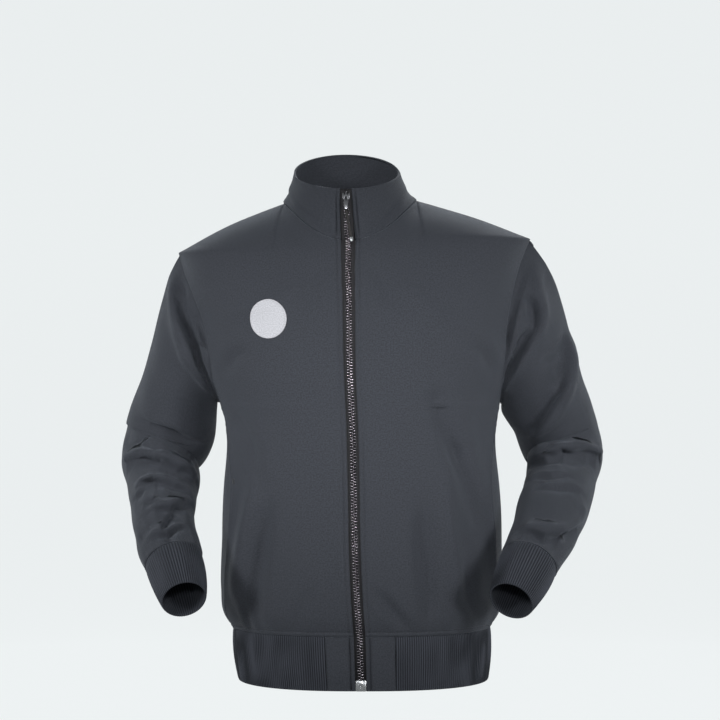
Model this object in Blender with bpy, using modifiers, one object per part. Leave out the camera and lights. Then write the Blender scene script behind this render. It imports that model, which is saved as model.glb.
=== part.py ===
"""Track jacket in its hollow worn form: fronts, back, sleeves, ribbed hem and cuffs, collar and zip.

Metres, +Z up. The origin is the middle of the neck opening at the height of the shoulder seams'
inner ends. The front faces -Y. The wearer's right is -X and the wearer's left is +X.
"""
import math

import bmesh
import bpy
import numpy as np
from mathutils import Matrix, Vector

# Cloth and seams
CLOTH = 0.0015            # wall of the double-knit cloth
COLLAR_WALL = 0.0025      # collar, folded double
RIB_WALL = 0.0018         # 1x1 rib at its thinnest
RIB_HEIGHT = 0.0009       # how far each rib stands up
RIB_PITCH = 0.0033
GAP = 0.0003              # between pieces at a seam, and between a piece and what lies on it

# Heights of the body's lines
BAND_BOTTOM = -0.635
HEM_SEAM = -0.565
ARMPIT = -0.268
NECK_FRONT = -0.055
NECK_BACK = 0.014
RIM_FRONT = 0.013
RIM_BACK = 0.070

# Neck and collar, in plan
NECK_CENTRE = -0.0115
NECK_DEPTH = {-1: 0.101, 1: 0.062}
RIM_CENTRE = -0.0145
RIM_HALF_WIDTH = 0.070
RIM_DEPTH = {-1: 0.086, 1: 0.055}
COLLAR_FLARE = 0.75       # below 1 the collar draws in quickly above the neck seam

# Zip
ZIP_HALF_GAP = 0.0075     # from the zip's centre line to a front's folded edge
TAPE_UNDER = 0.3          # share of a front's first column that the tape lies under
TAPE_WALL = 0.001
CHAIN_HALF = 0.0034
CHAIN_TOP = 0.0007        # how far the teeth stand out of the cloth's outer face
TAB_LENGTH = 0.039        # plain end of the waistband, beside the zip
TAB_CURVE = 0.35          # how much a tab's outward directions spread across it
TAB_END_GAP = 0.0005      # between a tab and the rib

# Grids
BODY_HEIGHTS = (-0.565, -0.552, -0.535, -0.505, -0.465, -0.42, -0.375, -0.335, -0.30, -0.268)
ARMHOLE_ROWS = 11         # rows of a body panel from the armpit to the shoulder
ROW_CROWDING = 1.35        # above 1 the rows crowd towards the shoulder
SHOULDER_COLUMNS = 9
NECK_COLUMNS = {-1: 7, 1: 4}
COLLAR_ROWS = 4
CAP_SHARE = 0.32          # the sleeve's head is this share of its length
SLEEVE_SHARES = (0.0, 0.03, 0.065, 0.105, 0.15, 0.2, 0.26, 0.32, 0.37, 0.42, 0.47, 0.51, 0.545, 0.58,
                 0.61, 0.64, 0.67, 0.7, 0.73, 0.77, 0.81, 0.85, 0.885, 0.92, 0.96, 1.0)
CUFF_END = 1.13           # the cuff's free edge, in the same shares
SECTION_POWER = 0.87      # below 1 a section is fuller than an ellipse

RIGHT, LEFT = -1, 1       # the wearer's sides
FRONT, BACK = -1, 1


def table(columns, rows):
    """A short table as one array for each named column."""
    return dict(zip(columns.split(), np.array(rows, float).T))


# Above the neck seam the lines go on, as the crown that the shoulders' curve belongs to
ZIP_LINE = table("height centre depth", [
    (-0.635, 0.0055, 0.133),
    (-0.600, 0.0045, 0.135),
    (-0.565, 0.0035, 0.137),
    (-0.545, 0.0020, 0.144),
    (-0.515, 0.0000, 0.147),
    (-0.440, -0.0030, 0.147),
    (-0.375, -0.0040, 0.146),
    (-0.307, -0.0055, 0.145),
    (-0.225, -0.0090, 0.143),
    (-0.133, -0.0105, 0.134),
    (-0.093, -0.0115, 0.119),
    (-0.055, -0.0115, 0.101),
    (-0.027, -0.0115, 0.0764),
    (-0.012, -0.0115, 0.058),
    (0.004, -0.0115, 0.041),
])
CENTRE_BACK = table("height centre depth", [
    (-0.565, 0.0035, 0.128),
    (-0.545, 0.0020, 0.141),
    (-0.515, 0.0000, 0.146),
    (-0.440, -0.0030, 0.147),
    (-0.375, -0.0040, 0.144),
    (-0.307, -0.0055, 0.140),
    (-0.225, -0.0090, 0.139),
    (-0.160, -0.0100, 0.136),
    (-0.110, -0.0110, 0.127),
    (-0.060, -0.0115, 0.110),
    (-0.020, -0.0115, 0.087),
    (0.014, -0.0115, 0.062),
])
BODY_SIDES = table("height right_edge left_edge seam_angle", [
    (-0.565, -0.165, 0.178, 74),
    (-0.545, -0.177, 0.190, 73),
    (-0.515, -0.181, 0.1935, 70),
    (-0.440, -0.180, 0.193, 66),
    (-0.375, -0.1785, 0.1905, 64),
    (-0.320, -0.1745, 0.185, 74),
    (-0.292, -0.1745, 0.1848, 82),
    (-0.268, -0.181, 0.189, 90),
])
ARMHOLE = {
    RIGHT: table("share x z front back", [
        (0.00, -0.181, -0.268, 0.000, 0.000),
        (0.17, -0.188, -0.240, -0.040, 0.038),
        (0.35, -0.193, -0.204, -0.058, 0.056),
        (0.55, -0.201, -0.160, -0.060, 0.060),
        (0.75, -0.217, -0.120, -0.046, 0.050),
        (0.90, -0.231, -0.088, -0.022, 0.030),
        (1.00, -0.238, -0.068, 0.000, 0.000),
    ]),
    LEFT: table("share x z front back", [
        (0.00, 0.189, -0.268, 0.000, 0.000),
        (0.17, 0.1905, -0.240, -0.040, 0.038),
        (0.35, 0.194, -0.203, -0.057, 0.056),
        (0.55, 0.197, -0.160, -0.060, 0.060),
        (0.75, 0.205, -0.118, -0.048, 0.050),
        (0.90, 0.218, -0.078, -0.024, 0.030),
        (1.00, 0.231, -0.049, 0.000, 0.000),
    ]),
}
NECK_POINT = {RIGHT: (-0.098, 0.0, -0.001), LEFT: (0.080, 0.0, 0.003)}
NECK_RUN_ON = (0.045, 0.020)    # the shoulder's line goes on inward and up under the collar
SHOULDER_CROWN = {RIGHT: 0.005, LEFT: 0.003}
# The sleeve's centre line, half width across the front view and half depth
SLEEVE = {
    RIGHT: table("share x y z half_width half_depth", [
        (0.32, -0.243, 0.030, -0.262, 0.055, 0.060),
        (0.40, -0.250, 0.040, -0.290, 0.060, 0.059),
        (0.48, -0.257, 0.046, -0.317, 0.0600, 0.057),
        (0.56, -0.2685, 0.038, -0.345, 0.0510, 0.055),
        (0.64, -0.261, 0.010, -0.370, 0.0495, 0.051),
        (0.72, -0.258, -0.020, -0.392, 0.046, 0.048),
        (0.80, -0.256, -0.048, -0.413, 0.042, 0.045),
        (0.88, -0.250, -0.076, -0.436, 0.041, 0.042),
        (0.95, -0.243, -0.100, -0.456, 0.040, 0.039),
        (1.00, -0.236, -0.117, -0.470, 0.037, 0.035),
        (1.13, -0.2185, -0.170, -0.513, 0.0285, 0.030),
    ]),
    LEFT: table("share x y z half_width half_depth", [
        (0.32, 0.2500, 0.030, -0.258, 0.0590, 0.060),
        (0.40, 0.2645, 0.040, -0.286, 0.0555, 0.059),
        (0.48, 0.2745, 0.046, -0.314, 0.0545, 0.057),
        (0.56, 0.282, 0.038, -0.343, 0.0515, 0.055),
        (0.64, 0.2745, 0.010, -0.369, 0.048, 0.051),
        (0.72, 0.2665, -0.020, -0.391, 0.047, 0.048),
        (0.80, 0.2565, -0.048, -0.413, 0.0465, 0.046),
        (0.88, 0.2445, -0.076, -0.437, 0.0430, 0.042),
        (0.95, 0.2315, -0.100, -0.457, 0.0400, 0.038),
        (1.00, 0.2220, -0.117, -0.471, 0.037, 0.035),
        (1.13, 0.1950, -0.170, -0.515, 0.0285, 0.030),
    ]),
}
HEAD_FULLNESS = {RIGHT: 0.010, LEFT: 0.021}    # how far a sleeve's head stands out of its straight line

# Pocket slits in the side seams
POCKET_TOP = -0.372
POCKET_BOTTOM = -0.532
POCKET_LIP = 0.0022       # how far a slit's front edge stands out
POCKET_OPEN = 0.0016      # how far it stands forward of the seam
FACING_CLEARANCE = 0.0008 # between the panels' inner faces and the facing
FACING_WALL = 0.0012

# Largest folds of the body, in front view: from one point to another, height and half width.
# A trough has a negative height.
FRONT_FOLDS = table("x_from z_from x_to z_to height half_width", [
    (0.103, -0.262, 0.128, -0.330, -0.0035, 0.012),
    (0.128, -0.330, 0.158, -0.420, -0.0030, 0.014),
    (0.140, -0.290, 0.165, -0.390, 0.0020, 0.013),
    (0.086, -0.425, 0.094, -0.530, -0.0025, 0.013),
    (-0.135, -0.400, -0.160, -0.510, 0.0025, 0.014),
    (-0.120, -0.460, -0.128, -0.530, -0.0020, 0.012),
])
BACK_FOLDS = table("x_from z_from x_to z_to height half_width", [
    (-0.150, -0.270, -0.105, -0.390, -0.0040, 0.016),
    (0.158, -0.270, 0.110, -0.400, -0.0040, 0.016),
    (-0.060, -0.440, -0.085, -0.540, -0.0030, 0.014),
    (0.070, -0.430, 0.055, -0.540, -0.0030, 0.015),
    (-0.010, -0.470, -0.004, -0.545, 0.0025, 0.014),
])
# Largest folds of a sleeve: share of its length, turn round it (0 underarm, 0.25 front, 0.5 outer
# line, 0.75 back), height and half width
SLEEVE_FOLDS = {
    RIGHT: table("share_from turn_from share_to turn_to height half_width", [
        (0.055, 0.44, 0.125, 0.27, -0.0045, 0.012),
        (0.125, 0.27, 0.130, 0.16, -0.0035, 0.011),
        (0.600, 0.42, 0.690, 0.25, -0.0050, 0.011),
        (0.690, 0.25, 0.700, 0.08, -0.0050, 0.011),
        (0.490, 0.36, 0.620, 0.24, -0.0035, 0.011),
        (0.550, 0.40, 0.655, 0.26, 0.0030, 0.010),
        (0.750, 0.34, 0.770, 0.12, -0.0030, 0.011),
        (0.870, 0.30, 0.860, 0.12, -0.0030, 0.010),
        (0.930, 0.40, 0.920, 0.20, 0.0030, 0.010),
        (0.580, 0.86, 0.570, 0.62, -0.0045, 0.012),
        (0.680, 0.84, 0.660, 0.66, -0.0035, 0.011),
        (0.200, 0.66, 0.380, 0.80, -0.0045, 0.014),
    ]),
    LEFT: table("share_from turn_from share_to turn_to height half_width", [
        (0.040, 0.45, 0.105, 0.37, -0.0045, 0.011),
        (0.240, 0.47, 0.290, 0.33, -0.0055, 0.013),
        (0.290, 0.33, 0.390, 0.17, -0.0055, 0.013),
        (0.180, 0.33, 0.225, 0.47, 0.0035, 0.013),
        (0.580, 0.41, 0.655, 0.25, -0.0050, 0.011),
        (0.655, 0.25, 0.620, 0.08, -0.0045, 0.011),
        (0.620, 0.40, 0.700, 0.28, 0.0030, 0.010),
        (0.700, 0.28, 0.700, 0.10, -0.0025, 0.010),
        (0.810, 0.43, 0.920, 0.38, -0.0035, 0.012),
        (0.920, 0.38, 0.960, 0.20, -0.0035, 0.011),
        (0.580, 0.86, 0.570, 0.62, -0.0045, 0.012),
        (0.700, 0.84, 0.670, 0.64, -0.0035, 0.011),
        (0.200, 0.66, 0.380, 0.80, -0.0045, 0.014),
    ]),
}
SLEEVE_LENGTH = 0.56      # turns a share of the sleeve into a length for the folds
SLEEVE_GIRTH = 0.33       # turns a turn round the sleeve into a length for the folds

# Badge on the wearer's right chest
BADGE_X, BADGE_Z = -0.1134, -0.1578
BADGE_HALF_WIDTH, BADGE_HALF_HEIGHT = 0.0235, 0.025
BADGE_WALL = 0.0010
BADGE_RINGS, BADGE_SIDES = 4, 32

# Slider, pull and retainer of the zip
SLIDER_HEIGHT = 0.003     # of the slider's middle
SLIDER_HALF_WIDTH, SLIDER_HALF_LENGTH = 0.0050, 0.0055
SLIDER_PLATE = 0.0011
BAIL_RISE = 0.0031        # from the slider's plate to the bail's axis
BAIL_RADIUS = 0.0006
BAIL_HALF = 0.0031
EYE_RADIUS, EYE_HOLE = 0.0021, 0.0011
EYE_HALF = 0.0016
PULL_END_X = -0.0066      # the pull hangs to its tip here
PULL_LENGTH = 0.0195
PULL_SHOULDER = 0.006     # from the bail's axis to the wide part of the tab
PULL_HALF_WIDTH, PULL_WALL = 0.0028, 0.0012
CORD_RADIUS, CORD_LENGTH = 0.0016, 0.037
TIP_RADIUS, TIP_LENGTH = 0.0023, 0.0070
PULL_LEAN = 15            # degrees forward of straight down, along the collar's front
BOX_HALF_WIDTH, BOX_TOP, BOX_RISE, BOX_EDGE = 0.0069, -0.6205, 0.0012, 0.0004

CLOTH_COLOUR = (0.058, 0.066, 0.080)
RIB_COLOUR = (0.022, 0.026, 0.034)
TAPE_COLOUR = (0.012, 0.010, 0.010)
METAL_COLOUR = (0.60, 0.61, 0.63)
CHAIN_COLOUR = (0.10, 0.09, 0.10)
BADGE_COLOUR = (0.78, 0.78, 0.80)


def curve(rows, key, column, at):
    """The column's value at a place in the key column, on a smooth curve through the rows."""
    knots, values = rows[key], rows[column]
    slopes = np.gradient(values, knots)
    at = np.asarray(at, float)
    i = np.clip(np.searchsorted(knots, at, side="right") - 1, 0, len(knots) - 2)
    step = knots[i + 1] - knots[i]
    f = (at - knots[i]) / step
    rise = f * f * (3 - 2 * f)
    bend = step * (slopes[i] * f * (1 - f) ** 2 - slopes[i + 1] * f * f * (1 - f))
    return values[i] * (1 - rise) + values[i + 1] * rise + bend


def mix(a, b, f):
    return a + (b - a) * f


def unit(v):
    return v / np.maximum(np.linalg.norm(v, axis=-1, keepdims=True), 1e-12)


def full(x):
    """A sine or cosine made fuller, which rounds a section out towards a rectangle."""
    return np.sign(x) * np.abs(x) ** SECTION_POWER


def stack(x, y, z):
    return np.stack(np.broadcast_arrays(x, y, z), axis=-1)


# Lines that pieces share


def neckline(angle):
    """The neck seam at an angle from the front, in degrees, positive to the wearer's left."""
    a = np.radians(np.asarray(angle, float))
    right = np.sin(a) < 0
    width = np.where(right, NECK_CENTRE - NECK_POINT[RIGHT][0], NECK_POINT[LEFT][0] - NECK_CENTRE)
    side_z = np.where(right, NECK_POINT[RIGHT][2], NECK_POINT[LEFT][2])
    ahead = np.cos(a) > 0
    depth = np.where(ahead, NECK_DEPTH[FRONT], NECK_DEPTH[BACK])
    middle_z = np.where(ahead, NECK_FRONT, NECK_BACK)
    z = mix(middle_z, side_z, np.sin(a) ** 2)
    return stack(NECK_CENTRE + width * np.sin(a), -depth * np.cos(a), z)


def collar_point(angle, rise):
    """A place on the collar: rise runs from the neck seam (0) to the rim (1)."""
    a = np.radians(np.asarray(angle, float))
    depth = np.where(np.cos(a) > 0, RIM_DEPTH[FRONT], RIM_DEPTH[BACK])
    z = mix(RIM_FRONT, RIM_BACK, (1 - np.cos(a)) / 2)
    rim = stack(RIM_CENTRE + RIM_HALF_WIDTH * np.sin(a), -depth * np.cos(a), z)
    base = neckline(angle)
    plan = np.asarray(rise, float)[..., None] ** COLLAR_FLARE
    flat = mix(base, rim, plan)
    flat[..., 2] = mix(base[..., 2], rim[..., 2], rise)
    return flat


def shoulder(side, share):
    """The shoulder seam, from the neck (0) to the sleeve (1)."""
    start = np.array(NECK_POINT[side])
    end = np.array([ARMHOLE[side][c][-1] for c in ("x", "front", "z")])
    line = mix(start, end, share[..., None])
    line[..., 2] += SHOULDER_CROWN[side] * np.sin(np.pi * share)
    return line


def armhole(side, turn):
    """The armhole seam: turn runs 0 underarm, 0.25 front, 0.5 shoulder, 0.75 back, 1 underarm."""
    turn = np.asarray(turn, float)
    share = 1 - np.abs(1 - 2 * turn)
    rows = ARMHOLE[side]
    y = np.where(turn <= 0.5, curve(rows, "share", "front", share), curve(rows, "share", "back", share))
    return stack(curve(rows, "share", "x", share), y, curve(rows, "share", "z", share))


# The body


def middle_line(face, height):
    """Centre and depth of the body at a height, at the zip or at the centre back."""
    rows = ZIP_LINE if face == FRONT else CENTRE_BACK
    return curve(rows, "height", "centre", height), curve(rows, "height", "depth", height)


def lower_body(side, face, across, height):
    """The body between hem and armpit: across runs from the zip or centre back to the side seam."""
    centre, depth = middle_line(face, height)
    edge = curve(BODY_SIDES, "height", "right_edge" if side == RIGHT else "left_edge", height)
    seam = curve(BODY_SIDES, "height", "seam_angle", height)
    angle = np.radians(across * (seam if face == FRONT else 180 - seam))
    other = middle_line(-face, height)[1]
    reach = np.where(np.cos(angle) > 0, depth, other)
    y = face * reach * full(np.cos(angle))
    x = centre + (edge - centre) * full(np.sin(angle))
    if face == FRONT:
        x = x + side * ZIP_HALF_GAP * (1 - full(np.sin(angle)) / full(np.sin(np.radians(seam))))
    return stack(x, y, height)


def plan_of_rows(side, face, across, share):
    """Where the rows above the armpit run in front view, before the neck draws them up."""
    top = NECK_FRONT if face == FRONT else NECK_BACK
    height = mix(ARMPIT, top, share)
    centre = middle_line(face, height)[0]
    if face == FRONT:
        centre = centre + side * ZIP_HALF_GAP
    edge = armhole(side, share / 2)
    seam = np.radians(90 - 30 * share)
    sideways = full(np.sin(across * seam)) / full(np.sin(seam))
    return mix(centre, edge[..., 0], sideways), mix(height, edge[..., 2], sideways)


def body_edge(side, face):
    """The armhole and shoulder seams as one line of points that rises from the armpit to the neck."""
    share = np.linspace(0, 1, 160)
    arm = armhole(side, share / 2 if face == FRONT else 1 - share / 2)
    neck = np.array(NECK_POINT[side])
    above = neck + (-side * NECK_RUN_ON[0], 0.0, NECK_RUN_ON[1])
    return np.concatenate([arm, shoulder(side, share[::-1])[1:], [above]])


def crown(side, face, x, z):
    """Depth of the upper body: each level section is the same full curve, ending at the body's edge."""
    line = body_edge(side, face)
    edge_x, edge_y = np.interp(z, line[:, 2], line[:, 0]), np.interp(z, line[:, 2], line[:, 1])
    centre, depth = middle_line(face, z)
    power = 2 / SECTION_POWER
    back = np.clip(face * edge_y / depth, 0, 0.99)
    reach = np.abs(edge_x - centre) / (1 - back ** power) ** (1 / power)
    out = np.clip(np.abs(x - centre) / reach, 0, 1)
    return face * depth * (1 - out ** power) ** (1 / power)


def top_edge(side, face, across):
    """Neck seam, then shoulder seam, along the top of a body panel."""
    neck_columns = NECK_COLUMNS[face]
    neck_share = neck_columns / (neck_columns + SHOULDER_COLUMNS)
    start = zip_angle() if face == FRONT else 180.0
    angle = mix(start, 90.0, np.clip(across / neck_share, 0, 1))
    along = np.clip((across - neck_share) / (1 - neck_share), 0, 1)
    on_neck = (across <= neck_share)[..., None]
    return np.where(on_neck, neckline(side * angle), shoulder(side, along))


def zip_angle():
    """Angle at the neck seam between the zip's centre line and a front's edge."""
    return math.degrees(math.asin(ZIP_HALF_GAP / RIM_HALF_WIDTH))


def upper_body(side, face, across, share):
    """The body from the armpit (share 0) to the neck and shoulder seams (share 1)."""
    x, z = plan_of_rows(side, face, across, share)
    top = top_edge(side, face, across)
    top_x, top_z = plan_of_rows(side, face, across, np.ones_like(share))
    x = x + (top[..., 0] - top_x) * share ** 2.4
    z = z + (top[..., 2] - top_z) * share ** 1.8
    settle = top[..., 1] - crown(side, face, top[..., 0], top[..., 2])
    y = crown(side, face, x, z) + settle * share ** 5
    edge = armhole(side, share / 2 if face == FRONT else 1 - share / 2)
    place_at = stack(x, y, z)
    place_at = np.where((across >= 1)[..., None], edge, place_at)
    return np.where((share >= 1)[..., None], top, place_at)


def body_point(side, face, across, up):
    """A place on a body panel: up runs hem seam (0), armpit (1), neck and shoulder (2)."""
    low = lower_body(side, face, across, mix(HEM_SEAM, ARMPIT, np.clip(up, 0, 1)))
    high = upper_body(side, face, across, np.clip(up - 1, 0, 1))
    return np.where((up <= 1)[..., None], low, high)


def surface_normal(point, u, v, sign):
    """Outward normal of a surface function, from small steps along it."""
    step = 1e-3
    across = point(np.minimum(u + step, 1), v) - point(np.maximum(u - step, 0), v)
    up = point(u, v + step) - point(u, v - step)
    return sign * unit(np.cross(across, up))


def bump(folds, columns, place, scale):
    """Sum of the folds at a place: each is a rounded ridge or trough along a straight line."""
    total = np.zeros(place[0].shape)
    for ax, ay, bx, by, height, width in zip(*(folds[c] for c in columns)):
        sx, sy = scale
        px, py = (place[0] - ax) * sx, (place[1] - ay) * sy
        dx, dy = (bx - ax) * sx, (by - ay) * sy
        along = np.clip((px * dx + py * dy) / (dx * dx + dy * dy), 0, 1)
        away = np.hypot(px - along * dx, py - along * dy)
        total = total + height * np.exp(-(away / width) ** 2)
    return total


def edge_fade(share, margin):
    """0 at both ends of a range from 0 to 1, and 1 from the margin inward."""
    f = np.clip(np.minimum(share, 1 - share) / margin, 0, 1)
    return f * f * (3 - 2 * f)


def body_surface(side, face, across, up):
    """A body panel with its folds and its pocket's lip."""
    plain = body_point(side, face, across, up)
    sign = side if face == FRONT else -side
    inner = np.clip(up, 0.002, 1.998)
    normal = surface_normal(lambda u, v: body_point(side, face, u, v), across, inner, sign)
    folds = FRONT_FOLDS if face == FRONT else BACK_FOLDS
    columns = ("x_from", "z_from", "x_to", "z_to", "height", "half_width")
    relief = bump(folds, columns, (plain[..., 0], plain[..., 2]), (1.0, 1.0))
    relief = relief * edge_fade(up / 2, 0.05)
    relief = relief * np.clip((1 - across) / 0.12, 0, 1)
    if face == FRONT:
        relief = relief * np.clip(across / 0.12, 0, 1)
        height = plain[..., 2]
        within = np.clip((height - POCKET_BOTTOM) / (POCKET_TOP - POCKET_BOTTOM), 0, 1)
        slit = np.sin(np.pi * within) ** 0.5 * np.clip((across - 0.9) / 0.1, 0, 1)
        relief = relief + POCKET_LIP * slit
        plain = plain + stack(0 * slit, -POCKET_OPEN * slit, 0 * slit)
    return plain + normal * relief[..., None]


def body_columns(face):
    return NECK_COLUMNS[face] + SHOULDER_COLUMNS


def armhole_shares():
    """Shares of the armhole's height where rows meet it, closer together towards the shoulder."""
    even = np.arange(ARMHOLE_ROWS + 1) / ARMHOLE_ROWS
    return 1 - (1 - even) ** ROW_CROWDING


def body_rows():
    """The rows of a body panel, as the 'up' of body_point."""
    lower = [(h - HEM_SEAM) / (ARMPIT - HEM_SEAM) for h in BODY_HEIGHTS]
    return np.concatenate([lower, 1 + armhole_shares()[1:]])


def front_grid(side):
    across, up = np.meshgrid(np.linspace(0, 1, body_columns(FRONT) + 1), body_rows())
    return body_surface(side, FRONT, across, up)


def back_grid():
    """From the wearer's left side seam, over the centre back, to the right one."""
    across, up = np.meshgrid(np.linspace(0, 1, body_columns(BACK) + 1), body_rows())
    left = body_surface(LEFT, BACK, across, up)[:, ::-1]
    right = body_surface(RIGHT, BACK, across, up)
    return np.concatenate([left, right[:, 1:]], axis=1)


# Sleeves


def sleeve_frame(side, share):
    """Centre, axis, outward and forward directions and half sizes of the sleeve at a share."""
    rows = SLEEVE[side]
    share = np.asarray(share, float)

    def centre(s):
        return stack(*(curve(rows, "share", c, s) for c in ("x", "y", "z")))

    step = 0.01
    axis = unit(centre(np.minimum(share + step, CUFF_END)) - centre(share - step))
    outward = np.zeros_like(axis)
    outward[..., 0] = side
    outward = unit(outward - axis * np.sum(outward * axis, axis=-1, keepdims=True))
    forward = side * np.cross(axis, outward)
    return (centre(share), axis, outward, forward, curve(rows, "share", "half_width", share),
            curve(rows, "share", "half_depth", share))


def sleeve_ring(side, share, turn):
    """A place on the swept part of the sleeve or cuff."""
    centre, _, outward, forward, width, depth = sleeve_frame(side, share)
    a = 2 * np.pi * np.asarray(turn, float)
    return (centre - outward * (width * np.cos(a))[..., None]
            + forward * (depth * np.sin(a))[..., None])


def sleeve_head(side, share, turn):
    """Between the armhole and the swept part, on a smooth bridge."""
    start = armhole(side, turn)
    cap = np.full_like(share, CAP_SHARE)
    end = sleeve_ring(side, cap, turn)
    chord = end - start
    length = np.linalg.norm(chord, axis=-1, keepdims=True)
    down = unit(sleeve_ring(side, cap + 0.01, turn) - end) * length
    out = stack(np.full_like(share, side), 0 * share, 0.3 + 0 * share)
    lift = (1 - np.cos(2 * np.pi * turn)) / 2
    leave = chord + out * (HEAD_FULLNESS[side] * 3 * (0.45 + 0.55 * lift))[..., None]
    f = (share / CAP_SHARE)[..., None]
    rise = f * f * (3 - 2 * f)
    return start + chord * rise + leave * f * (1 - f) ** 2 - down * f * f * (1 - f)


def sleeve_point(side, share, turn):
    ring = sleeve_ring(side, np.maximum(share, CAP_SHARE), turn)
    head = sleeve_head(side, np.clip(share, 0, CAP_SHARE), turn)
    return np.where((share >= CAP_SHARE)[..., None], ring, head)


def sleeve_surface(side, share, turn):
    """The sleeve with its folds."""
    plain = sleeve_point(side, share, turn)
    step = 2e-3
    along = sleeve_point(side, np.minimum(share + step, 1), turn) - sleeve_point(
        side, np.maximum(share - step, 0), turn)
    around = sleeve_point(side, share, turn + step) - sleeve_point(side, share, turn - step)
    normal = side * unit(np.cross(around, along))
    columns = ("share_from", "turn_from", "share_to", "turn_to", "height", "half_width")
    scale = (SLEEVE_LENGTH, SLEEVE_GIRTH)
    relief = bump(SLEEVE_FOLDS[side], columns, (share, turn), scale) * edge_fade(share, 0.06)
    return plain + normal * relief[..., None]


def sleeve_grid(side):
    front = armhole_shares() / 2
    turns = np.concatenate([front, 1 - front[::-1][1:-1]])
    turn, share = np.meshgrid(turns, np.array(SLEEVE_SHARES))
    return sleeve_surface(side, share, turn)


# Waistband


def band_point(side, face, across, rise):
    """A place on the waistband: rise runs from its free edge (0) to the hem seam (1)."""
    seam = lower_body(side, face, across, np.full_like(across, HEM_SEAM))
    centre_top = curve(ZIP_LINE, "height", "centre", HEM_SEAM)
    centre_low = curve(ZIP_LINE, "height", "centre", BAND_BOTTOM)
    depth_top = curve(ZIP_LINE, "height", "depth", HEM_SEAM)
    depth_low = curve(ZIP_LINE, "height", "depth", BAND_BOTTOM)
    draw = float(depth_low / depth_top)
    low = stack(centre_low + (seam[..., 0] - centre_top) * draw, seam[..., 1] * draw,
                np.full_like(across, BAND_BOTTOM))
    return mix(low, seam, rise)


def tab_share():
    """How far across a front its waistband tab reaches."""
    across = np.linspace(0, 1, 400)
    x = lower_body(LEFT, FRONT, across, np.full_like(across, HEM_SEAM))[..., 0]
    return float(np.interp(TAB_LENGTH, x - x[0], across))


def even_points(line, count):
    """A polyline read again at even lengths."""
    steps = np.linalg.norm(np.diff(line, axis=0), axis=1)
    length = np.concatenate([[0], np.cumsum(steps)])
    at = np.linspace(0, length[-1], count)
    return stack(*(np.interp(at, length, line[:, k]) for k in range(3)))


def rib_line(rise):
    """The rib's path from the left tab round the back to the right tab."""
    start = tab_share()
    ahead, behind = np.linspace(start, 1, 120), np.linspace(0, 1, 120)
    pieces = [band_point(LEFT, FRONT, ahead, rise), band_point(LEFT, BACK, behind[::-1], rise),
              band_point(RIGHT, BACK, behind[1:], rise), band_point(RIGHT, FRONT, ahead[::-1], rise)]
    return np.concatenate(pieces)


# Walls from grids


def grid_normals(grid, ring, inside):
    """Outward unit normals of a grid of points, pointing away from the inside points."""
    if ring:
        around = np.roll(grid, -1, axis=1) - np.roll(grid, 1, axis=1)
    else:
        around = np.gradient(grid, axis=1)
    normal = unit(np.cross(around, np.gradient(grid, axis=0)))
    outward = np.sum(normal * (grid - inside)) > 0
    return normal if outward else -normal


class Cloth:
    """One cut piece: its outer points, their normals and its wall."""

    def __init__(self, name, grid, inside, wall=CLOTH, ring=False, flat_first=None, flat_last=None):
        self.name, self.grid, self.wall, self.ring = name, grid, wall, ring
        self.normals = grid_normals(grid, ring, inside)
        self.flat = {0: flat_first, len(grid) - 1: flat_last}

    def rim_places(self):
        """Grid places on the piece's edges."""
        rows, columns = self.grid.shape[:2]
        for i in range(rows):
            for j in range(columns):
                on_end = i in (0, rows - 1)
                on_side = not self.ring and j in (0, columns - 1)
                if on_end or on_side:
                    yield i, j

    def inward(self, i, j):
        """Unit direction along the cloth from an edge point into the piece."""
        rows, columns = self.grid.shape[:2]
        here = self.grid[i, j]
        total = np.zeros(3)
        if i in (0, rows - 1):
            beside = (j - 1) % columns, (j + 1) % columns
            if not self.ring:
                beside = max(j - 1, 0), min(j + 1, columns - 1)
            seam = self.grid[i, beside[1]] - self.grid[i, beside[0]]
            total += square_to(self.grid[1 if i == 0 else rows - 2, j] - here, seam)
        if not self.ring and j in (0, columns - 1):
            seam = self.grid[min(i + 1, rows - 1), j] - self.grid[max(i - 1, 0), j]
            total += square_to(self.grid[i, 1 if j == 0 else columns - 2] - here, seam)
        return unit(total)

    def faces_of_wall(self, seam_normals):
        """Outer and inner points, with edges drawn back from the seam and cut square to it."""
        outer = self.grid.copy()
        cut = self.normals.copy()
        for i, j in self.rim_places():
            key = seam_key(self.grid[i, j])
            direction = unit(seam_normals[key])
            back = self.inward(i, j)
            plane = self.flat.get(i)
            if plane is not None:
                direction = unit(direction - plane * np.dot(direction, plane))
                back = plane * np.sign(np.dot(back, plane))
            outer[i, j] += back * GAP / 2
            cut[i, j] = direction
        return outer, outer - cut * self.wall


def square_to(direction, seam):
    """Unit direction with its part along the seam taken out."""
    seam = unit(seam)
    return unit(direction - seam * np.dot(direction, seam))


def seam_key(point):
    return tuple(int(round(c * 2e4)) for c in point)


def shared_normals(pieces):
    """Sum of the pieces' normals at each point of a seam that they share."""
    total = {}
    for piece in pieces:
        for i, j in piece.rim_places():
            key = seam_key(piece.grid[i, j])
            total[key] = total.get(key, np.zeros(3)) + piece.normals[i, j]
    return total


def bridge(first, second, ring):
    """Triangles between two rows of points with different counts."""
    faces = []
    steps_a = len(first) if ring else len(first) - 1
    steps_b = len(second) if ring else len(second) - 1
    i = j = 0
    while i < steps_a or j < steps_b:
        a, b = first[i % len(first)], second[j % len(second)]
        if j == steps_b or (i < steps_a and (i + 1) / steps_a <= (j + 1) / steps_b):
            faces.append((a, first[(i + 1) % len(first)], b))
            i += 1
        else:
            faces.append((a, second[(j + 1) % len(second)], b))
            j += 1
    return faces


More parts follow.
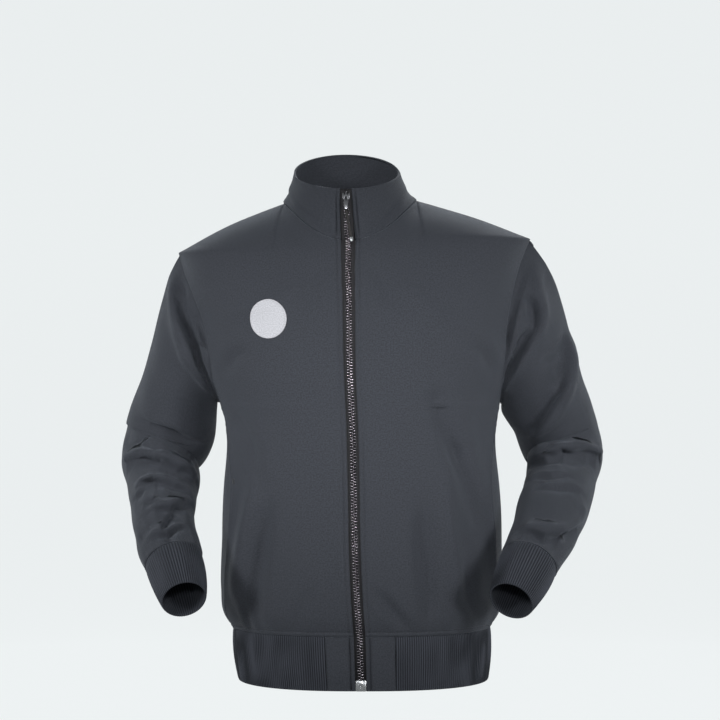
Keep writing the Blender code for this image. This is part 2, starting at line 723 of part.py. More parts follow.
def sheet_faces(index, ring):
    """Quads over a grid of point numbers."""
    rows, columns = index.shape
    last = columns if ring else columns - 1
    return [(index[i, j], index[i, (j + 1) % columns], index[i + 1, (j + 1) % columns], index[i + 1, j])
            for i in range(rows - 1) for j in range(last)]


def wall_mesh(name, outer, inner, ring, colour, roughness=0.9, metallic=0.0):
    """A closed wall between an outer and an inner grid, which may differ in their columns."""
    numbers_out = np.arange(outer.shape[0] * outer.shape[1]).reshape(outer.shape[:2])
    numbers_in = np.arange(inner.shape[0] * inner.shape[1]).reshape(inner.shape[:2]) + numbers_out.size
    faces = sheet_faces(numbers_out, ring) + sheet_faces(numbers_in[:, ::-1], ring)
    faces += bridge(numbers_out[0], numbers_in[0], ring)
    faces += bridge(numbers_out[-1], numbers_in[-1], ring)
    if not ring:
        for column in (0, -1):
            a, b = numbers_out[:, column], numbers_in[:, column]
            faces += [(a[i], a[i + 1], b[i + 1], b[i]) for i in range(len(a) - 1)]
    points = np.concatenate([outer.reshape(-1, 3), inner.reshape(-1, 3)])
    return solid(name, points.tolist(), faces, colour, roughness, metallic)


def solid(name, points, faces, colour, roughness=0.9, metallic=0.0):
    """An object from points and faces, with all its faces turned outward."""
    mesh = bpy.data.meshes.new(name)
    mesh.from_pydata(points, [], [tuple(int(k) for k in face) for face in faces])
    form = bmesh.new()
    form.from_mesh(mesh)
    bmesh.ops.recalc_face_normals(form, faces=form.faces)
    form.to_mesh(mesh)
    form.free()
    return place(name, mesh, colour, roughness, metallic)


def place(name, mesh, colour, roughness, metallic):
    obj = bpy.data.objects.new(name, mesh)
    bpy.data.collections["track_jacket"].objects.link(obj)
    mesh.materials.append(material(colour, roughness, metallic))
    return obj


def material(colour, roughness, metallic):
    name = "finish_%02x%02x%02x_%d" % (*(int(c * 255) for c in colour), metallic > 0.5)
    found = bpy.data.materials.get(name)
    if found:
        return found
    new = bpy.data.materials.new(name)
    new.use_nodes = True
    shader = new.node_tree.nodes["Principled BSDF"]
    shader.inputs["Base Color"].default_value = (*colour, 1)
    shader.inputs["Roughness"].default_value = roughness
    shader.inputs["Metallic"].default_value = metallic
    return new


# Pieces


def collar_angles():
    """From the left front edge, round the back, to the right front edge."""
    front = np.linspace(zip_angle(), 90, NECK_COLUMNS[FRONT] + 1)
    back = np.linspace(90, 180, NECK_COLUMNS[BACK] + 1)
    left = np.concatenate([front, back[1:]])
    return np.concatenate([left, 360 - left[::-1][1:]])


def make_cloth():
    """Fronts, back, sleeves and collar, which share their seam points."""
    level = np.array([0.0, 0.0, 1.0])
    axis = np.zeros(3)
    pieces = [
        Cloth("front_right", front_grid(RIGHT), axis + (0, 0, -0.3), flat_first=level),
        Cloth("front_left", front_grid(LEFT), axis + (0, 0, -0.3), flat_first=level),
        Cloth("back", back_grid(), axis + (0, 0, -0.3), flat_first=level),
    ]
    for side, name in ((RIGHT, "sleeve_right"), (LEFT, "sleeve_left")):
        grid = sleeve_grid(side)
        end_axis = sleeve_frame(side, np.array(1.0))[1]
        pieces.append(Cloth(name, grid, grid.mean(axis=1, keepdims=True), ring=True, flat_last=end_axis))
    angle, rise = np.meshgrid(collar_angles(), np.linspace(0, 1, COLLAR_ROWS + 1))
    pieces.append(Cloth("collar", collar_point(angle, rise), axis, wall=COLLAR_WALL))
    normals = shared_normals(pieces)
    for piece in pieces:
        outer, inner = piece.faces_of_wall(normals)
        wall_mesh(piece.name, outer, inner, piece.ring, CLOTH_COLOUR)


def sideways(line, ring):
    """Level outward directions along a row of points."""
    along = np.roll(line, -1, axis=0) - np.roll(line, 1, axis=0) if ring else np.gradient(line, axis=0)
    out = unit(stack(along[:, 1], -along[:, 0], 0 * along[:, 0]))
    middle = line.mean(axis=0)
    return out if np.sum(out * (line - middle)) > 0 else -out


def ribbed(name, lines, outs, ring, rib_count):
    """A ribbed wall between its rows of points: every second outer point stands up."""
    columns = lines[0].shape[0]
    raised = (np.arange(columns) % 2)[:, None] * RIB_HEIGHT
    outer = np.stack([line + out * raised for line, out in zip(lines, outs)])
    every = max(1, columns // (rib_count // 2))
    picks = np.arange(0, columns, every)
    if not ring and picks[-1] != columns - 1:
        picks = np.append(picks, columns - 1)
    inner = np.stack([line[picks] - out[picks] * RIB_WALL for line, out in zip(lines, outs)])
    wall_mesh(name, outer, inner, ring, RIB_COLOUR)


def make_hem_rib():
    length = np.sum(np.linalg.norm(np.diff(rib_line(1.0), axis=0), axis=1))
    ribs = int(length / RIB_PITCH)
    lines, outs = [], []
    for rise, height in ((0.0, BAND_BOTTOM), (1.0, HEM_SEAM - GAP / 2)):
        line = even_points(rib_line(rise), 2 * ribs + 1)
        line[:, 2] = height
        lines.append(line)
        outs.append(sideways(line, False))
    ribbed("hem_rib", lines, outs, False, ribs)


def make_tabs():
    for side, name in ((RIGHT, "hem_tab_right"), (LEFT, "hem_tab_left")):
        columns = np.linspace(0, tab_share() * (1 - TAB_END_GAP / TAB_LENGTH), 5)
        rows = []
        for rise, height in ((0.0, BAND_BOTTOM), (0.5, None), (1.0, HEM_SEAM - GAP / 2)):
            row = band_point(side, FRONT, columns, rise)
            if height is not None:
                row[:, 2] = height
            rows.append(row)
        outer = np.stack(rows)
        outs = level_out(outer)
        wall_mesh(name, outer, outer - outs * CLOTH, False, CLOTH_COLOUR)


def make_cuffs():
    """Rib tubes from the sleeves' ends to the wrists."""
    for side, name in ((RIGHT, "cuff_right"), (LEFT, "cuff_left")):
        turns = np.linspace(0, 1, 400)
        seam = sleeve_ring(side, np.full_like(turns, 1.0), turns)
        ribs = int(np.sum(np.linalg.norm(np.diff(seam, axis=0), axis=1)) / RIB_PITCH)
        turn = np.arange(2 * ribs) / (2 * ribs)
        lines, outs = [], []
        for share in (1.0, CUFF_END):
            centre, along = sleeve_frame(side, np.array(share))[:2]
            line = sleeve_ring(side, np.full_like(turn, share), turn)
            lines.append(line + along * (GAP / 2 if share == 1.0 else 0))
            outs.append(unit(line - centre))
        ribbed(name, lines, outs, True, ribs)


def level_out(row):
    """Directions out of the waistband's tabs, which curve a little across."""
    return unit(stack(TAB_CURVE * (row[..., 0] - row[..., 0].mean()), row[..., 1], 0 * row[..., 0]))


def zip_edge(side):
    """Up a front's zip edge: edge points, points a little under the cloth, and outward directions."""
    grid = front_grid(side)
    normals = grid_normals(grid, False, np.array([0, 0, -0.3]))
    edge, under = grid[:, 0], mix(grid[:, 0], grid[:, 1], TAPE_UNDER)
    out = unit(mix(normals[:, 0], normals[:, 1], TAPE_UNDER / 2))
    out[0] = (0.0, -1.0, 0.0)
    below = band_point(side, FRONT, np.array([0.0, tab_share() / 4]), 0.0)
    first = below[0], mix(below[0], below[1], 1.5 * TAPE_UNDER), np.array([0.0, -1.0, 0.0])
    return [np.concatenate([[a], b]) for a, b in zip(first, (edge, under, out))]


def zip_rows():
    """Stations up the zip: centre, outward direction, and each side's edge and reach."""
    edges = {side: zip_edge(side) for side in (RIGHT, LEFT)}
    last = len(edges[LEFT][0]) - 1
    at = np.concatenate([np.arange(last), [last - 0.4, last - 0.35]])

    def read(points):
        whole = np.floor(at).astype(int)
        return mix(points[whole], points[np.minimum(whole + 1, last)], (at - whole)[:, None])

    centre = read((edges[LEFT][0] + edges[RIGHT][0]) / 2)
    out = read(edges[LEFT][2] + edges[RIGHT][2]) * (0, 1, 1)
    rises = np.linspace(0.0, 1.0, 5)
    collar = collar_point(np.zeros_like(rises), rises)
    collar_out = np.cross(np.gradient(collar, axis=0), (-1.0, 0.0, 0.0))
    narrow = ZIP_HALF_GAP - 2.5 * GAP
    rows = {"centre": np.concatenate([centre, collar]), "out": unit(np.concatenate([out, collar_out]))}
    wide = len(at) - 1
    for side in (RIGHT, LEFT):
        beside = rows["centre"] + (side * narrow, 0, 0)
        middle, reach = mix(rows["centre"], beside, 0.5), beside.copy()
        middle[:wide], reach[:wide] = read(edges[side][0])[:wide], read(edges[side][1])[:wide]
        rows[side] = middle, reach
    return rows


def make_zip():
    rows = zip_rows()
    centre, out = rows["centre"], rows["out"]
    face = CLOTH + 1.4 * GAP
    for side, name in ((RIGHT, "zip_tape_right"), (LEFT, "zip_tape_left")):
        middle, reach = rows[side]
        across = np.stack([centre + (side * GAP / 2, 0, 0), middle, reach], axis=1)
        outer = across - out[:, None] * face
        wall_mesh(name, outer, outer - out[:, None] * TAPE_WALL, False, TAPE_COLOUR)
    height = centre[:, 2]
    keep = (height > BOX_TOP + GAP) & (height < SLIDER_HEIGHT - SLIDER_HALF_LENGTH - GAP)
    ends = [np.interp(level, height, np.arange(len(height)))
            for level in (BOX_TOP + GAP, SLIDER_HEIGHT - SLIDER_HALF_LENGTH - GAP)]
    at = np.concatenate([[ends[0]], np.flatnonzero(keep), [ends[1]]])
    whole = np.floor(at).astype(int)
    share = (at - whole)[:, None]
    line, way = mix(centre[whole], centre[whole + 1], share), unit(mix(out[whole], out[whole + 1], share))
    pair = np.stack([line - (CHAIN_HALF, 0, 0), line + (CHAIN_HALF, 0, 0)], axis=1)
    wall_mesh("zip_chain", pair + way[:, None] * CHAIN_TOP, pair - way[:, None] * (face - GAP),
              False, CHAIN_COLOUR, 0.4, 0.8)


def prism(name, outline, axis, half, frame):
    """A solid with a straight outline, drawn across an axis and pushed out both ways along it."""
    form = bmesh.new()
    spots = []
    for a, b in outline:
        spot = {"X": (-half, a, b), "Z": (a, b, -half)}[axis]
        spots.append(form.verts.new(spot))
    face = form.faces.new(spots)
    pushed = bmesh.ops.extrude_face_region(form, geom=[face])["geom"]
    moved = [v for v in pushed if isinstance(v, bmesh.types.BMVert)]
    step = Vector((2 * half, 0, 0)) if axis == "X" else Vector((0, 0, 2 * half))
    bmesh.ops.translate(form, verts=moved, vec=step)
    bmesh.ops.recalc_face_normals(form, faces=form.faces)
    form.transform(frame)
    mesh = bpy.data.meshes.new(name)
    form.to_mesh(mesh)
    form.free()
    return mesh


def rod(name, radius, half, frame, sides=16):
    """A round bar along its own X axis."""
    form = bmesh.new()
    turn = Matrix.Rotation(math.pi / 2, 4, "Y")
    bmesh.ops.create_cone(form, cap_ends=True, segments=sides, radius1=radius, radius2=radius,
                          depth=2 * half, matrix=frame @ turn)
    mesh = bpy.data.meshes.new(name)
    form.to_mesh(mesh)
    form.free()
    return mesh


def join(obj, mesh, operation):
    """Adds or cuts a shape with an exact Boolean."""
    cutter = bpy.data.objects.new(mesh.name, mesh)
    bpy.data.collections["cutters"].objects.link(cutter)
    cutter.hide_render = True
    cutter.display_type = "WIRE"
    cut = obj.modifiers.new(mesh.name, "BOOLEAN")
    cut.operation = operation
    cut.object = cutter


def box_outline(a, b, c, d):
    return [(a, c), (b, c), (b, d), (a, d)]


def zip_frame(height):
    """Place and tilt of the zip at a height on the collar: X across, Y into the body, Z up it."""
    rise = (height - NECK_FRONT) / (RIM_FRONT - NECK_FRONT)
    spots = collar_point(np.zeros(3), np.array([rise - 0.05, rise, rise + 0.05]))
    along = spots[2] - spots[0]
    tilt = -math.atan2(along[1], along[2])
    return Matrix.Translation(Vector(spots[1])) @ Matrix.Rotation(tilt, 4, "X")


def pull_pivot():
    return zip_frame(SLIDER_HEIGHT) @ Vector((0, -(CHAIN_TOP + GAP + SLIDER_PLATE + BAIL_RISE), 0))


def make_slider():
    """A channel over the teeth, with a bail that carries the pull."""
    frame = zip_frame(SLIDER_HEIGHT)
    top = -(CHAIN_TOP + GAP)
    plate = top - SLIDER_PLATE
    inside = CHAIN_HALF + GAP
    foot = CLOTH
    channel = [(-SLIDER_HALF_WIDTH, plate), (SLIDER_HALF_WIDTH, plate), (SLIDER_HALF_WIDTH, foot),
               (inside, foot), (inside, top), (-inside, top), (-inside, foot), (-SLIDER_HALF_WIDTH, foot)]
    mesh = prism("channel", channel, "Z", SLIDER_HALF_LENGTH, frame)
    slider = place("zip_slider", mesh, METAL_COLOUR, 0.3, 1.0)
    high = plate - BAIL_RISE - BAIL_RADIUS
    low = plate - BAIL_RISE + BAIL_RADIUS
    ear = BAIL_HALF - 2 * BAIL_RADIUS
    sunk = plate + SLIDER_PLATE / 2
    bail = [(-BAIL_HALF, sunk), (-BAIL_HALF, high), (BAIL_HALF, high), (BAIL_HALF, sunk),
            (ear, sunk), (ear, low), (-ear, low), (-ear, sunk)]
    join(slider, prism("bail", bail, "Z", BAIL_RADIUS, frame), "UNION")


def make_pull():
    """Metal tab on the bail, then a stiff cord and its metal tip, hanging down the collar's front."""
    pivot = Matrix.Translation(pull_pivot())
    frame = pivot @ Matrix.Rotation(math.radians(-PULL_LEAN), 4, "X")
    pull = place("zip_pull", rod("eye", EYE_RADIUS, EYE_HALF, frame, 24), METAL_COLOUR, 0.3, 1.0)
    thick = PULL_WALL / 2
    neck = box_outline(-thick, thick, -PULL_SHOULDER - 0.001, -(EYE_RADIUS + EYE_HOLE) / 2)
    join(pull, prism("pull_neck", neck, "X", EYE_HALF, frame), "UNION")
    blade = box_outline(-thick, thick, -PULL_LENGTH, -PULL_SHOULDER)
    join(pull, prism("pull_blade", blade, "X", PULL_HALF_WIDTH, frame), "UNION")
    join(pull, rod("pull_eye_hole", EYE_HOLE, 2 * EYE_HALF, frame, 24), "DIFFERENCE")
    reach = CORD_LENGTH + TIP_LENGTH
    slant = math.asin((PULL_END_X - pull_pivot()[0]) / reach)
    hang = frame @ Matrix.Translation((0, 0, -PULL_LENGTH - GAP)) @ Matrix.Rotation(-slant, 4, "Y")
    upright = Matrix.Rotation(math.pi / 2, 4, "Y")
    drop = CORD_RADIUS * math.sin(abs(slant))
    cord = hang @ Matrix.Translation((0, 0, -CORD_LENGTH / 2 - drop)) @ upright
    place("pull_cord", rod("cord", CORD_RADIUS, CORD_LENGTH / 2, cord, 10), TAPE_COLOUR, 0.7, 0.0)
    tip = hang @ Matrix.Translation((0, 0, -CORD_LENGTH - drop - GAP - TIP_LENGTH / 2)) @ upright
    place("pull_end", rod("tip", TIP_RADIUS, TIP_LENGTH / 2, tip, 16), METAL_COLOUR, 0.3, 1.0)


def make_zip_box():
    """The retainer that joins the tapes' lower ends."""
    rows = zip_rows()
    centre = rows["centre"][0]
    face = CLOTH + 1.4 * GAP - GAP
    outline = box_outline(-BOX_HALF_WIDTH, BOX_HALF_WIDTH, -BOX_RISE, face)
    middle = (BAND_BOTTOM + BOX_TOP) / 2
    lean = rows["centre"][1] - rows["centre"][0]
    tilt = -math.atan2(lean[1], lean[2])
    spot = Vector(centre + lean * (middle - BAND_BOTTOM) / lean[2])
    frame = Matrix.Translation(spot) @ Matrix.Rotation(tilt, 4, "X")
    mesh = prism("box", outline, "Z", (BOX_TOP - BAND_BOTTOM) / 2, frame)
    obj = place("zip_box", mesh, METAL_COLOUR, 0.35, 1.0)
    soft = obj.modifiers.new("edges", "BEVEL")
    soft.width = BOX_EDGE
    soft.segments = 2


def front_place(side, x, z):
    """The place on a front panel that shows at x and z."""
    across, up = np.full_like(x, 0.5), np.full_like(x, 1.4)
    step = 1e-3
    for _ in range(12):
        here = body_surface(side, FRONT, across, up)
        by_across = (body_surface(side, FRONT, across + step, up) - here) / step
        by_up = (body_surface(side, FRONT, across, up + step) - here) / step
        dx, dz = x - here[..., 0], z - here[..., 2]
        size = by_across[..., 0] * by_up[..., 2] - by_across[..., 2] * by_up[..., 0]
        across = across + (dx * by_up[..., 2] - dz * by_up[..., 0]) / size
        up = up + (dz * by_across[..., 0] - dx * by_across[..., 2]) / size
    return across, up


def make_badge():
    """A bare oval patch on the wearer's right chest."""
    turn = np.arange(BADGE_SIDES) * 2 * np.pi / BADGE_SIDES
    radius = np.linspace(0, 1, BADGE_RINGS + 1)[1:, None]
    x = np.concatenate([[BADGE_X], (BADGE_X + BADGE_HALF_WIDTH * radius * np.cos(turn)).ravel()])
    z = np.concatenate([[BADGE_Z], (BADGE_Z + BADGE_HALF_HEIGHT * radius * np.sin(turn)).ravel()])
    across, up = front_place(RIGHT, x, z)
    under = body_surface(RIGHT, FRONT, across, up)
    out = surface_normal(lambda u, v: body_point(RIGHT, FRONT, u, v), across, up, RIGHT)
    count = len(x)
    ring = 1 + np.arange(BADGE_RINGS * BADGE_SIDES).reshape(BADGE_RINGS, BADGE_SIDES)
    fan = [(0, ring[0, (k + 1) % BADGE_SIDES], ring[0, k]) for k in range(BADGE_SIDES)]
    disc = fan + [tuple(face) for face in sheet_faces(ring, True)]
    faces = disc + [tuple(k + count for k in face[::-1]) for face in disc]
    rim = ring[-1]
    faces += [(rim[k], rim[k - 1], rim[k - 1] + count, rim[k] + count) for k in range(BADGE_SIDES)]
    points = np.concatenate([under + out * (2 * GAP + BADGE_WALL), under + out * 2 * GAP])
    solid("badge", points.tolist(), faces, BADGE_COLOUR, 0.7)


def make_facings():
    """The strip of cloth behind each pocket's slit, under the panels on both sides of the seam."""
    rows = body_rows()
    heights = np.array(BODY_HEIGHTS)
    chosen = rows[:len(heights)][(heights >= POCKET_BOTTOM - 0.01) & (heights <= POCKET_TOP + 0.001)]
    for side, name in ((RIGHT, "pocket_facing_right"), (LEFT, "pocket_facing_left")):
        columns = []
        for face in (FRONT, BACK):
            beside = np.full_like(chosen, 1 - 1 / body_columns(face))
            columns.append(body_surface(side, face, beside, chosen))
        seam = body_point(side, FRONT, np.ones_like(chosen), chosen)
        grid = np.stack([columns[0], seam, columns[1]], axis=1)
        out = grid_normals(grid, False, np.array([0, 0, -0.45]))
        grid = grid - out * (CLOTH + FACING_CLEARANCE)
        wall_mesh(name, grid, grid - out * FACING_WALL, False, CLOTH_COLOUR)


def main():
    for old in list(bpy.data.objects):
        bpy.data.objects.remove(old, do_unlink=True)
    jacket = bpy.data.collections.new("track_jacket")
    bpy.context.scene.collection.children.link(jacket)
    cutters = bpy.data.collections.new("cutters")
    bpy.context.scene.collection.children.link(cutters)
    make_cloth()
    make_hem_rib()
    make_tabs()
    make_cuffs()
    make_zip()
    make_slider()
    make_pull()
    make_zip_box()
    make_badge()
    make_facings()


if __name__ == "__main__":
    main()
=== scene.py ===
"""Looks of the track jacket: worn double-knit cloth, ribs, zip, badge, sewing and studio.

Metres, +Z up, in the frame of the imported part. The front faces -Y. The wearer's right is -X.
"""
import math

import bmesh
import bpy
import numpy as np
from mathutils import Matrix, Vector


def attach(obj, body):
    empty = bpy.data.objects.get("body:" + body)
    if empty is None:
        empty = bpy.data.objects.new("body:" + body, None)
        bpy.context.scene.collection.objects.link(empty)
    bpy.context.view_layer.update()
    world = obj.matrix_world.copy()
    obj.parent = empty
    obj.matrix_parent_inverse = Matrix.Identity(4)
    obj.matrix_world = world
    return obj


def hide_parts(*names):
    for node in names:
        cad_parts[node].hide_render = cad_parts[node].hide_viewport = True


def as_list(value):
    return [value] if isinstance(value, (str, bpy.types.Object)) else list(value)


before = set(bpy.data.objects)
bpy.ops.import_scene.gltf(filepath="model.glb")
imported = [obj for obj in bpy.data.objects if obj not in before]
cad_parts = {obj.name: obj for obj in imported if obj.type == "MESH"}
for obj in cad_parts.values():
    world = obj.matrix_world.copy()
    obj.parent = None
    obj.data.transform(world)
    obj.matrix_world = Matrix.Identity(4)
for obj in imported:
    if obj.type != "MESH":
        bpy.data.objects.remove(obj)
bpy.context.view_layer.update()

# Cloth and seams
CLOTH = 0.0015            # wall of the double-knit cloth
COLLAR_WALL = 0.0025      # collar, folded double
RIB_WALL = 0.0018         # 1x1 rib at its thinnest
RIB_HEIGHT = 0.0010       # how far each rib stands up
RIB_SHOWS = 0.0029        # from rib to rib
RIB_STEPS = 6             # columns of points to a rib
BAND_HEIGHT = 0.070
GAP = 0.0003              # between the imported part's pieces
SEAM_SHOWS = 0.0002       # open line between pieces at a seam

# Heights of the body's lines
BAND_BOTTOM = -0.635
HEM_SEAM = -0.565
ARMPIT = -0.268
NECK_FRONT = -0.055
NECK_BACK = 0.014
RIM_FRONT = 0.013
RIM_BACK = 0.070

# Neck and collar, in plan
NECK_CENTRE = -0.0115
NECK_DEPTH = {-1: 0.101, 1: 0.062}
RIM_CENTRE = -0.0145
RIM_HALF_WIDTH = 0.070
RIM_DEPTH = {-1: 0.086, 1: 0.055}
COLLAR_FLARE = 0.75       # below 1 the collar draws in quickly above the neck seam

# Zip
ZIP_HALF_GAP = 0.0075     # from the zip's centre line to a front's folded edge
TAPE_UNDER = 0.3          # share of a front's first column that the tape lies under
TAPE_WALL = 0.001
CHAIN_TOP = 0.0007        # how far the teeth stand out of the cloth's outer face
TAB_LENGTH = 0.039        # plain end of the waistband, beside the zip
TAB_CURVE = 0.35          # how much a tab's outward directions spread across it
TAB_END_GAP = 0.0005      # between a tab and the rib
TAB_COLUMNS = 4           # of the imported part
TAB_ALLOWANCE = ((0.0003, 0.0022), (0.0018, 0.0030), (0.0035, 0.0030))    # run and depth
TOOTH_PITCH = 0.0036
TOOTH_RISE = 0.0011
# A tooth's reach towards the other side and half width, as a share of the pitch
TOOTH_OUTLINE = ((-0.0007, 0.22), (-0.0003, 0.38), (0.0006, 0.44), (0.0013, 0.36), (0.0026, 0.34),
                 (0.0034, 0.42), (0.0040, 0.34))
TOOTH_LEVELS = ((-0.0011, 0.80), (-0.0008, 1.0), (0.0002, 1.0), (0.0007, 0.88), (TOOTH_RISE, 0.50))
TOOTH_MIDDLE = 0.0016

# Sewing
STITCH_FROM_ZIP = 0.0052
STITCH_UP_HEM = 0.0062
STITCH_LENGTH, STITCH_GAP = 0.0024, 0.0009
THREAD = 0.00022          # its radius
# Share along a stitch, thickness, and height over the cloth in thread radii
STITCH_FORM = ((0.0, 0.55, -0.9), (0.18, 1.0, 0.1), (0.5, 1.0, 0.5), (0.82, 1.0, 0.1),
               (1.0, 0.55, -0.9))
TACK_STITCHES, TACK_PITCH, TACK_RADIUS, TACK_LIFT = 9, 0.0007, 0.0007, 0.0004
TACK_ACROSS = (0.950, 0.992)
TACK_BEYOND = 0.003       # from the pocket's end to its bar tack

# Relief of the worn cloth
SEAM_PUFF, SEAM_PUCKER, SEAM_REACH = 0.0026, 0.0004, 0.009
PUCKER_LENGTH = 0.012
EDGE_REACH = 0.0020       # the relief comes up within this distance of a piece's edge
WELT_FROM_EDGE, WELT_REACH = 0.0025, 0.0020
SLACK_OVER_HEM, HEM_GATHERS = 0.0021, 0.036
SLACK_OVER_CUFF, CUFF_GATHERS = 0.0017, 9

# Rows and columns of points added near the zip and the hem, as shares
WELT_COLUMNS = (0.010, 0.022, 0.034, 0.043, 0.052, 0.061, 0.072, 0.09)
HEM_ROWS = (0.003, 0.0065, 0.0105, 0.014, 0.0175, 0.0209, 0.0243, 0.028, 0.034)

# Grids
ARMHOLE_ROWS = 76
ROW_CROWDING = 1.35       # above 1 the rows crowd towards the shoulder
SHOULDER_COLUMNS = 9
NECK_COLUMNS = {-1: 7, 1: 4}
CAP_SHARE = 0.32          # the sleeve's head is this share of its length
CUFF_END = 1.13           # the cuff's free edge, in the same shares
SECTION_POWER = 0.87      # below 1 a section is fuller than an ellipse

RIGHT, LEFT = -1, 1       # the wearer's sides
FRONT, BACK = -1, 1
BODY_MIDDLE = np.array([0.0, 0.0, -0.3])
POCKET_MIDDLE = np.array([0.0, 0.0, -0.45])
LEVEL = np.array([0.0, 0.0, 1.0])


def table(columns, rows):
    """A short table as one array for each named column."""
    return dict(zip(columns.split(), np.array(rows, float).T))


# Above the neck seam the lines go on, as the crown that the shoulders' curve belongs to
ZIP_LINE = table("height centre depth", [
    (-0.635, 0.0055, 0.133),
    (-0.600, 0.0045, 0.135),
    (-0.565, 0.0035, 0.137),
    (-0.545, 0.0020, 0.144),
    (-0.515, 0.0000, 0.147),
    (-0.440, -0.0030, 0.147),
    (-0.375, -0.0040, 0.146),
    (-0.307, -0.0055, 0.145),
    (-0.225, -0.0090, 0.143),
    (-0.133, -0.0105, 0.134),
    (-0.093, -0.0115, 0.119),
    (-0.055, -0.0115, 0.101),
    (-0.027, -0.0115, 0.0764),
    (-0.012, -0.0115, 0.058),
    (0.004, -0.0115, 0.041),
])
CENTRE_BACK = table("height centre depth", [
    (-0.565, 0.0035, 0.128),
    (-0.545, 0.0020, 0.141),
    (-0.515, 0.0000, 0.146),
    (-0.440, -0.0030, 0.147),
    (-0.375, -0.0040, 0.144),
    (-0.307, -0.0055, 0.140),
    (-0.225, -0.0090, 0.139),
    (-0.160, -0.0100, 0.136),
    (-0.110, -0.0110, 0.127),
    (-0.060, -0.0115, 0.110),
    (-0.020, -0.0115, 0.087),
    (0.014, -0.0115, 0.062),
])
BODY_SIDES = table("height right_edge left_edge seam_angle", [
    (-0.565, -0.165, 0.178, 74),
    (-0.545, -0.177, 0.190, 73),
    (-0.515, -0.181, 0.1935, 70),
    (-0.440, -0.180, 0.193, 66),
    (-0.375, -0.1785, 0.1905, 64),
    (-0.320, -0.1745, 0.185, 74),
    (-0.292, -0.1745, 0.1848, 82),
    (-0.268, -0.181, 0.189, 90),
])
ARMHOLE = {
    RIGHT: table("share x z front back", [
        (0.00, -0.181, -0.268, 0.000, 0.000),
        (0.17, -0.188, -0.240, -0.040, 0.038),
        (0.35, -0.193, -0.204, -0.058, 0.056),
        (0.55, -0.201, -0.160, -0.060, 0.060),
        (0.75, -0.217, -0.120, -0.046, 0.050),
        (0.90, -0.231, -0.088, -0.022, 0.030),
        (1.00, -0.238, -0.068, 0.000, 0.000),
    ]),
    LEFT: table("share x z front back", [
        (0.00, 0.189, -0.268, 0.000, 0.000),
        (0.17, 0.1905, -0.240, -0.040, 0.038),
        (0.35, 0.194, -0.203, -0.057, 0.056),
        (0.55, 0.197, -0.160, -0.060, 0.060),
        (0.75, 0.205, -0.118, -0.048, 0.050),
        (0.90, 0.218, -0.078, -0.024, 0.030),
        (1.00, 0.231, -0.049, 0.000, 0.000),
    ]),
}
NECK_POINT = {RIGHT: (-0.098, 0.0, -0.001), LEFT: (0.080, 0.0, 0.003)}
NECK_RUN_ON = (0.045, 0.020)    # the shoulder's line goes on inward and up under the collar
SHOULDER_CROWN = {RIGHT: 0.005, LEFT: 0.003}
# The sleeve's centre line, half width across the front view and half depth
SLEEVE = {
    RIGHT: table("share x y z half_width half_depth", [
        (0.32, -0.243, 0.030, -0.262, 0.055, 0.060),
        (0.40, -0.250, 0.040, -0.290, 0.060, 0.059),
        (0.48, -0.257, 0.046, -0.317, 0.0600, 0.057),
        (0.56, -0.2685, 0.038, -0.345, 0.0510, 0.055),
        (0.64, -0.261, 0.010, -0.370, 0.0495, 0.051),
        (0.72, -0.258, -0.020, -0.392, 0.046, 0.048),
        (0.80, -0.256, -0.048, -0.413, 0.042, 0.045),
        (0.88, -0.250, -0.076, -0.436, 0.041, 0.042),
        (0.95, -0.243, -0.100, -0.456, 0.040, 0.039),
        (1.00, -0.236, -0.117, -0.470, 0.037, 0.035),
        (1.13, -0.2185, -0.170, -0.513, 0.0285, 0.030),
    ]),
    LEFT: table("share x y z half_width half_depth", [
        (0.32, 0.2500, 0.030, -0.258, 0.0590, 0.060),
        (0.40, 0.2645, 0.040, -0.286, 0.0555, 0.059),
        (0.48, 0.2745, 0.046, -0.314, 0.0545, 0.057),
        (0.56, 0.282, 0.038, -0.343, 0.0515, 0.055),
        (0.64, 0.2745, 0.010, -0.369, 0.048, 0.051),
        (0.72, 0.2665, -0.020, -0.391, 0.047, 0.048),
        (0.80, 0.2565, -0.048, -0.413, 0.0465, 0.046),
        (0.88, 0.2445, -0.076, -0.437, 0.0430, 0.042),
        (0.95, 0.2315, -0.100, -0.457, 0.0400, 0.038),
        (1.00, 0.2220, -0.117, -0.471, 0.037, 0.035),
        (1.13, 0.1950, -0.170, -0.515, 0.0285, 0.030),
    ]),
}
# How far a sleeve's head stands out of its straight line
HEAD_FULLNESS = {RIGHT: 0.010, LEFT: 0.021}

# Pocket slits in the side seams
POCKET_TOP = -0.372
POCKET_BOTTOM = -0.532
POCKET_LIP = 0.0022       # how far a slit's front edge stands out
POCKET_OPEN = 0.0016      # how far it stands forward of the seam
FACING_CLEARANCE = 0.0008 # between the panels' inner faces and the facing
FACING_WALL = 0.0012

FOLDS_FROM_EDGE = 0.12    # the largest folds come up within this share of a panel's width

